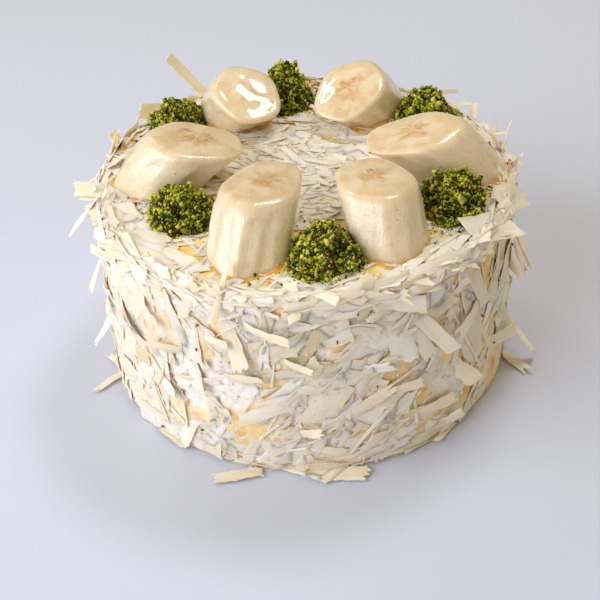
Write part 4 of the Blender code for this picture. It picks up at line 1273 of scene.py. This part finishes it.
def glazed_banana(name, coat_roughness):
    """Banana flesh under clear glaze: pale and translucent, wet, with a core of brown dashes."""
    finish, tree, shader = new_material(
        name,
        Roughness=0.4,
        Subsurface_Weight=0.56,
        Subsurface_Radius=(1.0, 0.66, 0.34),
        Subsurface_Scale=5 * MM,
        Coat_Weight=1.0,
        Coat_Roughness=coat_roughness,
        Coat_IOR=1.45,
    )
    flesh = add_node(tree, "Attribute", attribute_name="flesh").outputs["Vector"]
    cut = add_node(tree, "Attribute", attribute_name="cut").outputs["Fac"]
    place = add_node(tree, "TexCoord").outputs["Object"]
    side, face = peeled_side(tree, flesh, place), cut_face(tree, flesh)
    flesh_colour = add_node(tree, "Mix", {0: cut, 6: side, 7: face}, data_type="RGBA")
    flecks = add_node(tree, "TexVoronoi", {"Vector": place, "Scale": 1 / FLECK_SPACING, "Randomness": 1})
    fleck = add_node(tree, "MapRange", {0: flecks.outputs[0], 1: 0.085, 2: 0.05, 3: 0, 4: 0.45})
    colour = add_node(
        tree, "Mix", {0: fleck.outputs[0], 6: flesh_colour.outputs[2], 7: linear("#7A5A3A")}, data_type="RGBA"
    )
    tree.links.new(colour.outputs[2], shader.inputs["Base Color"])
    pores = add_node(tree, "TexNoise", {"Vector": place, "Scale": 1 / GLAZE_PORE, "Detail": 3})
    strung = add_node(tree, "Mapping", {0: flesh, 3: (11, 11, 3.2)})
    strings = add_node(tree, "TexNoise", {"Vector": strung.outputs[0], "Scale": 1, "Detail": 3})
    rough = add_node(tree, "Math", {0: pores.outputs[0], 1: strings.outputs[0]}, operation="ADD")
    on_side = add_node(tree, "MapRange", {0: cut, 1: 0, 2: 1, 3: 0.5, 4: 0.02})
    bump = add_node(
        tree, "Bump", {"Height": rough.outputs[0], "Strength": on_side.outputs[0], "Distance": 0.4 * MM}
    )
    tree.links.new(bump.outputs[0], shader.inputs["Normal"])
    tree.links.new(bump.outputs[0], shader.inputs["Coat Normal"])
    return finish


face_finish = glazed_banana("banana cut face under clear sugar glaze", FACE_GLAZE_ROUGHNESS)
side_finish = glazed_banana("banana side under thin sugar glaze", SIDE_GLAZE_ROUGHNESS)
for number, chunk in enumerate(BANANAS, start=1):
    rings, low, high, flesh, cut = banana_surface(chunk, 10 * number)
    points, quads, triangles = closed_by_poles(rings, low, high)
    points = moved(points, chunk_frame(chunk))
    flesh = np.concatenate([flesh.reshape(-1, 3), [flesh[0, 0] * (0, 0, 1)], [flesh[-1, 0] * (0, 0, 1)]])
    cut = np.append(cut.ravel(), [0, 1])
    piece = make_piece(
        f"glazed_banana_{number}", points, quads, triangles, face_finish, "glazed_banana",
        [f"banana_{number}"], flesh=flesh, cut=cut,
    )
    piece.data.materials.append(side_finish)
    on_side = np.arange(len(quads) + len(triangles)) < (SIDE_RINGS + 3) * BANANA_SIDES
    piece.data.polygons.foreach_set("material_index", on_side.astype(np.int32))


# %% [markdown]
# Glaze ran down and pooled round the foot of each chunk as amber syrup. It climbs the banana a little and
# runs out flat over the cream, so its section is a hollow curve. The section is carried round the foot's
# outline, wider where the syrup gathered.

# %% Syrup round the feet
SYRUP_CLIMB = 1.8 * MM
SYRUP_REACH = 0.8 * MM
# For each banana: the direction in degrees in which the syrup gathered, and how far it ran
SYRUP_RUNS = [(-35, 3.5), (-110, 3.5), (-40, 2.5), (-130, 1.5), (0, 1.5), (-90, 1.2)]


def syrup_fillet(chunk, run, seed):
    """A closed ring: up the banana's side, down a hollow Bezier curve to the cream, and back under it."""
    angle = np.linspace(0, 2 * math.pi, BANANA_SIDES, endpoint=False)
    radius = chunk["radius"] * (1 + BANANA_LOBE_DEPTH * np.cos(BANANA_LOBES * angle))
    foot = GAP - chunk["rise"]
    outline = side_point(chunk, angle, side_slopes(chunk, angle, radius, foot)[1], radius)
    outline = moved(outline, chunk_frame(chunk))
    away = unit((outline - outline.mean(axis=0)) * (1, 1, 0))
    direction, extra = math.radians(run[0]), run[1] * MM
    gathered_here = np.maximum(away @ (math.cos(direction), math.sin(direction), 0), 0) ** 4
    uneven = 1 + 0.45 * ripples(outline, 9 * MM, seed)
    reach = np.maximum(SYRUP_REACH * uneven + extra * gathered_here, 0.6 * MM)
    climb = SYRUP_CLIMB * (1 + 0.4 * ripples(outline, 7 * MM, seed + 1)) + 0.25 * extra * gathered_here
    high_slope = side_slopes(chunk, angle, radius, foot + climb)[1]
    high = moved(side_point(chunk, angle, high_slope, radius - 0.25 * MM), chunk_frame(chunk))
    corner = outline + away * 0.5 * MM
    corner[:, 2] = CREAM_HEIGHT + PRESSED_IN_LAYER + 0.45 * MM
    far = outline + away * reach[:, None]
    far[:, 2] = CREAM_HEIGHT + PRESSED_IN_LAYER + 0.25 * MM
    w = np.linspace(0, 1, 9)[:, None, None]
    hollow = (1 - w) ** 2 * high + 2 * w * (1 - w) * corner + w**2 * far
    under = [far + away * 0.2 * MM - UP * 0.9 * MM, outline - away * 1.5 * MM - UP * 0.8 * MM]
    return np.concatenate([hollow, np.array(under)])


def amber_syrup():
    """Sugar glaze cooked amber by the fruit's juice: clear, thick and very smooth."""
    finish, tree, shader = new_material(
        "clear sugar glaze pooled amber",
        Roughness=0.12,
        Subsurface_Weight=0.5,
        Subsurface_Radius=(1.0, 0.45, 0.1),
        Subsurface_Scale=3 * MM,
        Coat_Weight=1.0,
        Coat_Roughness=0.02,
    )
    place = add_node(tree, "TexCoord").outputs["Object"]
    depth = add_node(tree, "TexNoise", {"Vector": place, "Scale": 1 / (5 * MM), "Detail": 2})
    stops = [(0.3, "#DC9230"), (0.7, "#EFC062")]
    colour = add_node(tree, "ValToRGB", {0: depth.outputs[0]}, stops)
    tree.links.new(colour.outputs[0], shader.inputs["Base Color"])
    return finish


syrup_finish = amber_syrup()
fillets = [syrup_fillet(*pair, 70 + 3 * index) for index, pair in enumerate(zip(BANANAS, SYRUP_RUNS))]
one = grid_faces(*fillets[0].shape[:2], closed_rows=True)
syrup_points = np.stack(fillets)
syrup_quads = one[None] + np.arange(len(fillets))[:, None, None] * len(fillets[0].reshape(-1, 3))
make_piece(
    "pooled_syrup", syrup_points.reshape(-1, 3), syrup_quads.reshape(-1, 4), [], syrup_finish, "glazed_banana"
)


# %% [markdown]
# ## The ground pistachio
#
# Each heap is nuts ground to grit, bright green inside, with dark bits of skin. Its core is a dome whose
# surface is lumpy at the size of the grains, fitted against the bananas that it touches, and painted dark
# green as painted shade between the grains. Loose angular grains of all sizes lie on it and round it, each
# with a colour of its own, painted lighter on high lumps and darker in the hollows.

# %% The cores of the heaps
HEAP_RINGS = 44
HEAP_SECTORS = 120
HEAP_BUMP = 1.7 * MM


def heap_form(heap, share, angle):
    """Points of a heap's lumpy dome in its own frame, at shares of its foot and angles round it.

    The level is height (1 - share^2.4) within a ragged outline, and lumps of 3 and 7 mm push it out.
    Returned with the lumps, in shares of the deepest.
    """
    ragged = 1 + 0.07 * np.sin(3 * angle + heap["azimuth"]) + 0.06 * np.sin(5 * angle - heap["azimuth"])
    x = heap["long"] * share * ragged * np.cos(angle) + heap["crest"] * np.clip(1 - share, 0, 1)
    y = heap["wide"] * share * ragged * np.sin(angle)
    level = heap["height"] * (1 - np.minimum(share, 1) ** 2.4)
    dome = np.stack(np.broadcast_arrays(x, y, level), axis=-1)
    seed = 200 + heap["azimuth"]
    lumps = ripples(dome, 7 * MM, seed) + 0.5 * ripples(dome, 2.8 * MM, seed + 1)
    lumps = lumps * np.clip((1 - share) * 8, 0, 1)
    outward = unit(dome - (0, 0, -0.3 * heap["height"]))
    dome = dome + outward * (HEAP_BUMP * lumps)[..., None]
    dome[..., 2] = np.maximum(dome[..., 2], 0)
    return dome, lumps


def pressed_back(points, middle, margin):
    """Draws points that lie in a banana towards the middle of their heap until they are clear."""
    points = points.copy()
    for _ in range(24):
        hit = np.zeros(len(points), bool)
        for chunk in BANANAS:
            hit |= inside_banana(points, chunk, margin)
        if not hit.any():
            break
        points[hit, :2] = middle[:2] + (points[hit, :2] - middle[:2]) * 0.95
    return points


def ground_pistachio():
    """Pistachio ground to grit: dry and matt, bright green flesh among dark skins."""
    finish, tree, shader = new_material(
        "pistachio ground to grit",
        Roughness=0.75,
        Specular_IOR_Level=0.2,
        Subsurface_Weight=0.1,
        Subsurface_Radius=(0.6, 1.0, 0.2),
        Subsurface_Scale=0.6 * MM,
    )
    tint = add_node(tree, "Attribute", attribute_name="tint").outputs["Fac"]
    # The dark greens low on the ramp serve the grains' own colours and the core's painted shade
    stops = [
        (0.0, "#4A302A"), (1.0, "#D8D062"), (0.08, "#5A402E"), (0.11, "#252E0B"), (0.3, "#4E5B10"),
        (0.55, "#8A941A"), (0.8, "#B2B422"), (0.93, "#C9C23E"),
    ]
    green = add_node(tree, "ValToRGB", {0: tint}, stops)
    place = add_node(tree, "TexCoord").outputs["Object"]
    speckle = add_node(tree, "TexNoise", {"Vector": place, "Scale": 1 / (0.7 * MM), "Detail": 3})
    shade = add_node(tree, "MapRange", {0: speckle.outputs[0], 1: 0.3, 2: 0.7, 3: 0.72, 4: 1.18})
    mixed = add_node(
        tree, "VectorMath", {0: green.outputs[0], "Scale": shade.outputs[0]}, operation="SCALE"
    )
    tree.links.new(mixed.outputs[0], shader.inputs["Base Color"])
    bump = add_node(tree, "Bump", {"Height": speckle.outputs[0], "Strength": 0.6, "Distance": 0.3 * MM})
    tree.links.new(bump.outputs[0], shader.inputs["Normal"])
    return finish


nut_finish = ground_pistachio()
for number, heap in enumerate(HEAPS, start=1):
    placed = placement(heap["azimuth"], heap["reach"], TOP_LEVEL)
    angle = np.linspace(0, 2 * math.pi, HEAP_SECTORS, endpoint=False)[None, :]
    share = np.linspace(1, 0, HEAP_RINGS, endpoint=False)[:, None]
    dome, lumps = heap_form(heap, share, angle)
    low_pole, high_pole = (heap["crest"], 0, 0), (heap["crest"], 0, heap["height"])
    points, quads, triangles = closed_by_poles(dome, low_pole, high_pole)
    middle = moved(np.array(low_pole), placed)
    points = pressed_back(moved(points, placed), middle, 0.45 * MM)
    # Painted shade: the core is dark green, the shade between the grains, lighter on lumps, darker in hollows
    tint = np.clip(0.16 + 0.1 * np.append(lumps.ravel(), [0, 0]), 0.11, 0.5)
    make_piece(
        f"pistachio_core_{number}", points, quads, triangles, nut_finish, "ground_pistachio",
        [f"pistachio_{number}"], tint=tint,
    )


# %% [markdown]
# The loose grains are drawn over each heap by area, small ones many and coarse ones few, and they reach a
# little beyond its foot, where they lie on the cream and the flakes. A grain that would lie in a banana is
# left out. Brown bits of skin come in clumps, and a few coarse crumbs lie apart in front.

# %% Loose grains
GRAINS_A_HEAP = 4300
STRAY_SHARE = 0.12
BROWN_CLUMP = 8 * MM
# Coarse crumbs that lie apart in front, on the flakes: x and y in mm
CRUMBS_IN_FRONT = [
    (-22.7, -82.3), (-21.4, -85.2), (-11.7, -83.1), (-7.1, -82.1), (-2.2, -88.1), (-25.2, -88.4),
    (-4.6, -85.1), (11.6, -87.8), (15.5, -86.7),
]
CRUMB_LEVEL = TOP_LEVEL + 2.6 * MM


def heap_grains(rng, heap, count):
    """Places, radii and lumps of grains on a heap's surface, with a few strays round its foot."""
    angle = rng.uniform(0, 2 * math.pi, count)
    share = np.sqrt(rng.random(count)) * 1.04
    stray = rng.random(count) < STRAY_SHARE
    share = np.where(stray, 1 + rng.exponential(0.22, count), share)
    size = 0.37 + 1.0 * rng.random(count) ** 4.2
    size = np.where(stray, size * 0.75, size) * MM
    places, lumps = heap_form(heap, share, angle)
    places[:, 2] += rng.normal(0.3, 0.5, count) * MM
    lowest = np.where(stray, rng.uniform(0.4, 2.0, count) * MM, 0.6 * size)
    places[:, 2] = np.maximum(places[:, 2], lowest)
    places = moved(places, placement(heap["azimuth"], heap["reach"], TOP_LEVEL))
    inside_rim = np.hypot(places[:, 0], places[:, 1]) < CREAM_RADIUS - 1 * MM
    clear = inside_rim.copy()
    for chunk in BANANAS:
        clear &= ~inside_banana(places, chunk, 0.1 * MM)
    return places[clear], size[clear], lumps[clear]


nuts = np.random.default_rng(31)
found = [heap_grains(nuts, heap, GRAINS_A_HEAP) for heap in HEAPS]
x, y = np.array(CRUMBS_IN_FRONT).T * MM
apart = np.stack([x, y, CRUMB_LEVEL + 0 * x], axis=-1)
found.append((apart, nuts.uniform(0.9, 1.3, len(x)) * MM, 0.5 + 0 * x))
places, radii, lumps = (np.concatenate(parts) for parts in zip(*found))
points, triangles = grains(nuts, places, radii)
# Painted light and shade: grains on high lumps are made lighter and those in hollows darker
tint = np.clip(nuts.normal(0.56, 0.31, len(places)) + 0.2 * lumps, 0.12, 1)
brown_share = np.clip(0.05 + 0.3 * ripples(places, BROWN_CLUMP, 77), 0.02, 0.4)
tint[nuts.random(len(places)) < brown_share] = 0.04
tint = np.repeat(tint, 6)
make_piece(
    "pistachio_grains", points, [], triangles, nut_finish, "ground_pistachio", sharp=0, tint=tint
)
print("loose grains:", len(places))


# %% [markdown]
# ## Sizes
#
# The boxes of the solid model and of the dressed cake are both printed, axis by axis.

# %% The boxes and the end
dressed_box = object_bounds()
for axis, low, high, new_low, new_high in zip("XYZ", *cad_box, *dressed_box):
    print(axis, [round(value / MM, 1) for value in (low, high, new_low, new_high)])
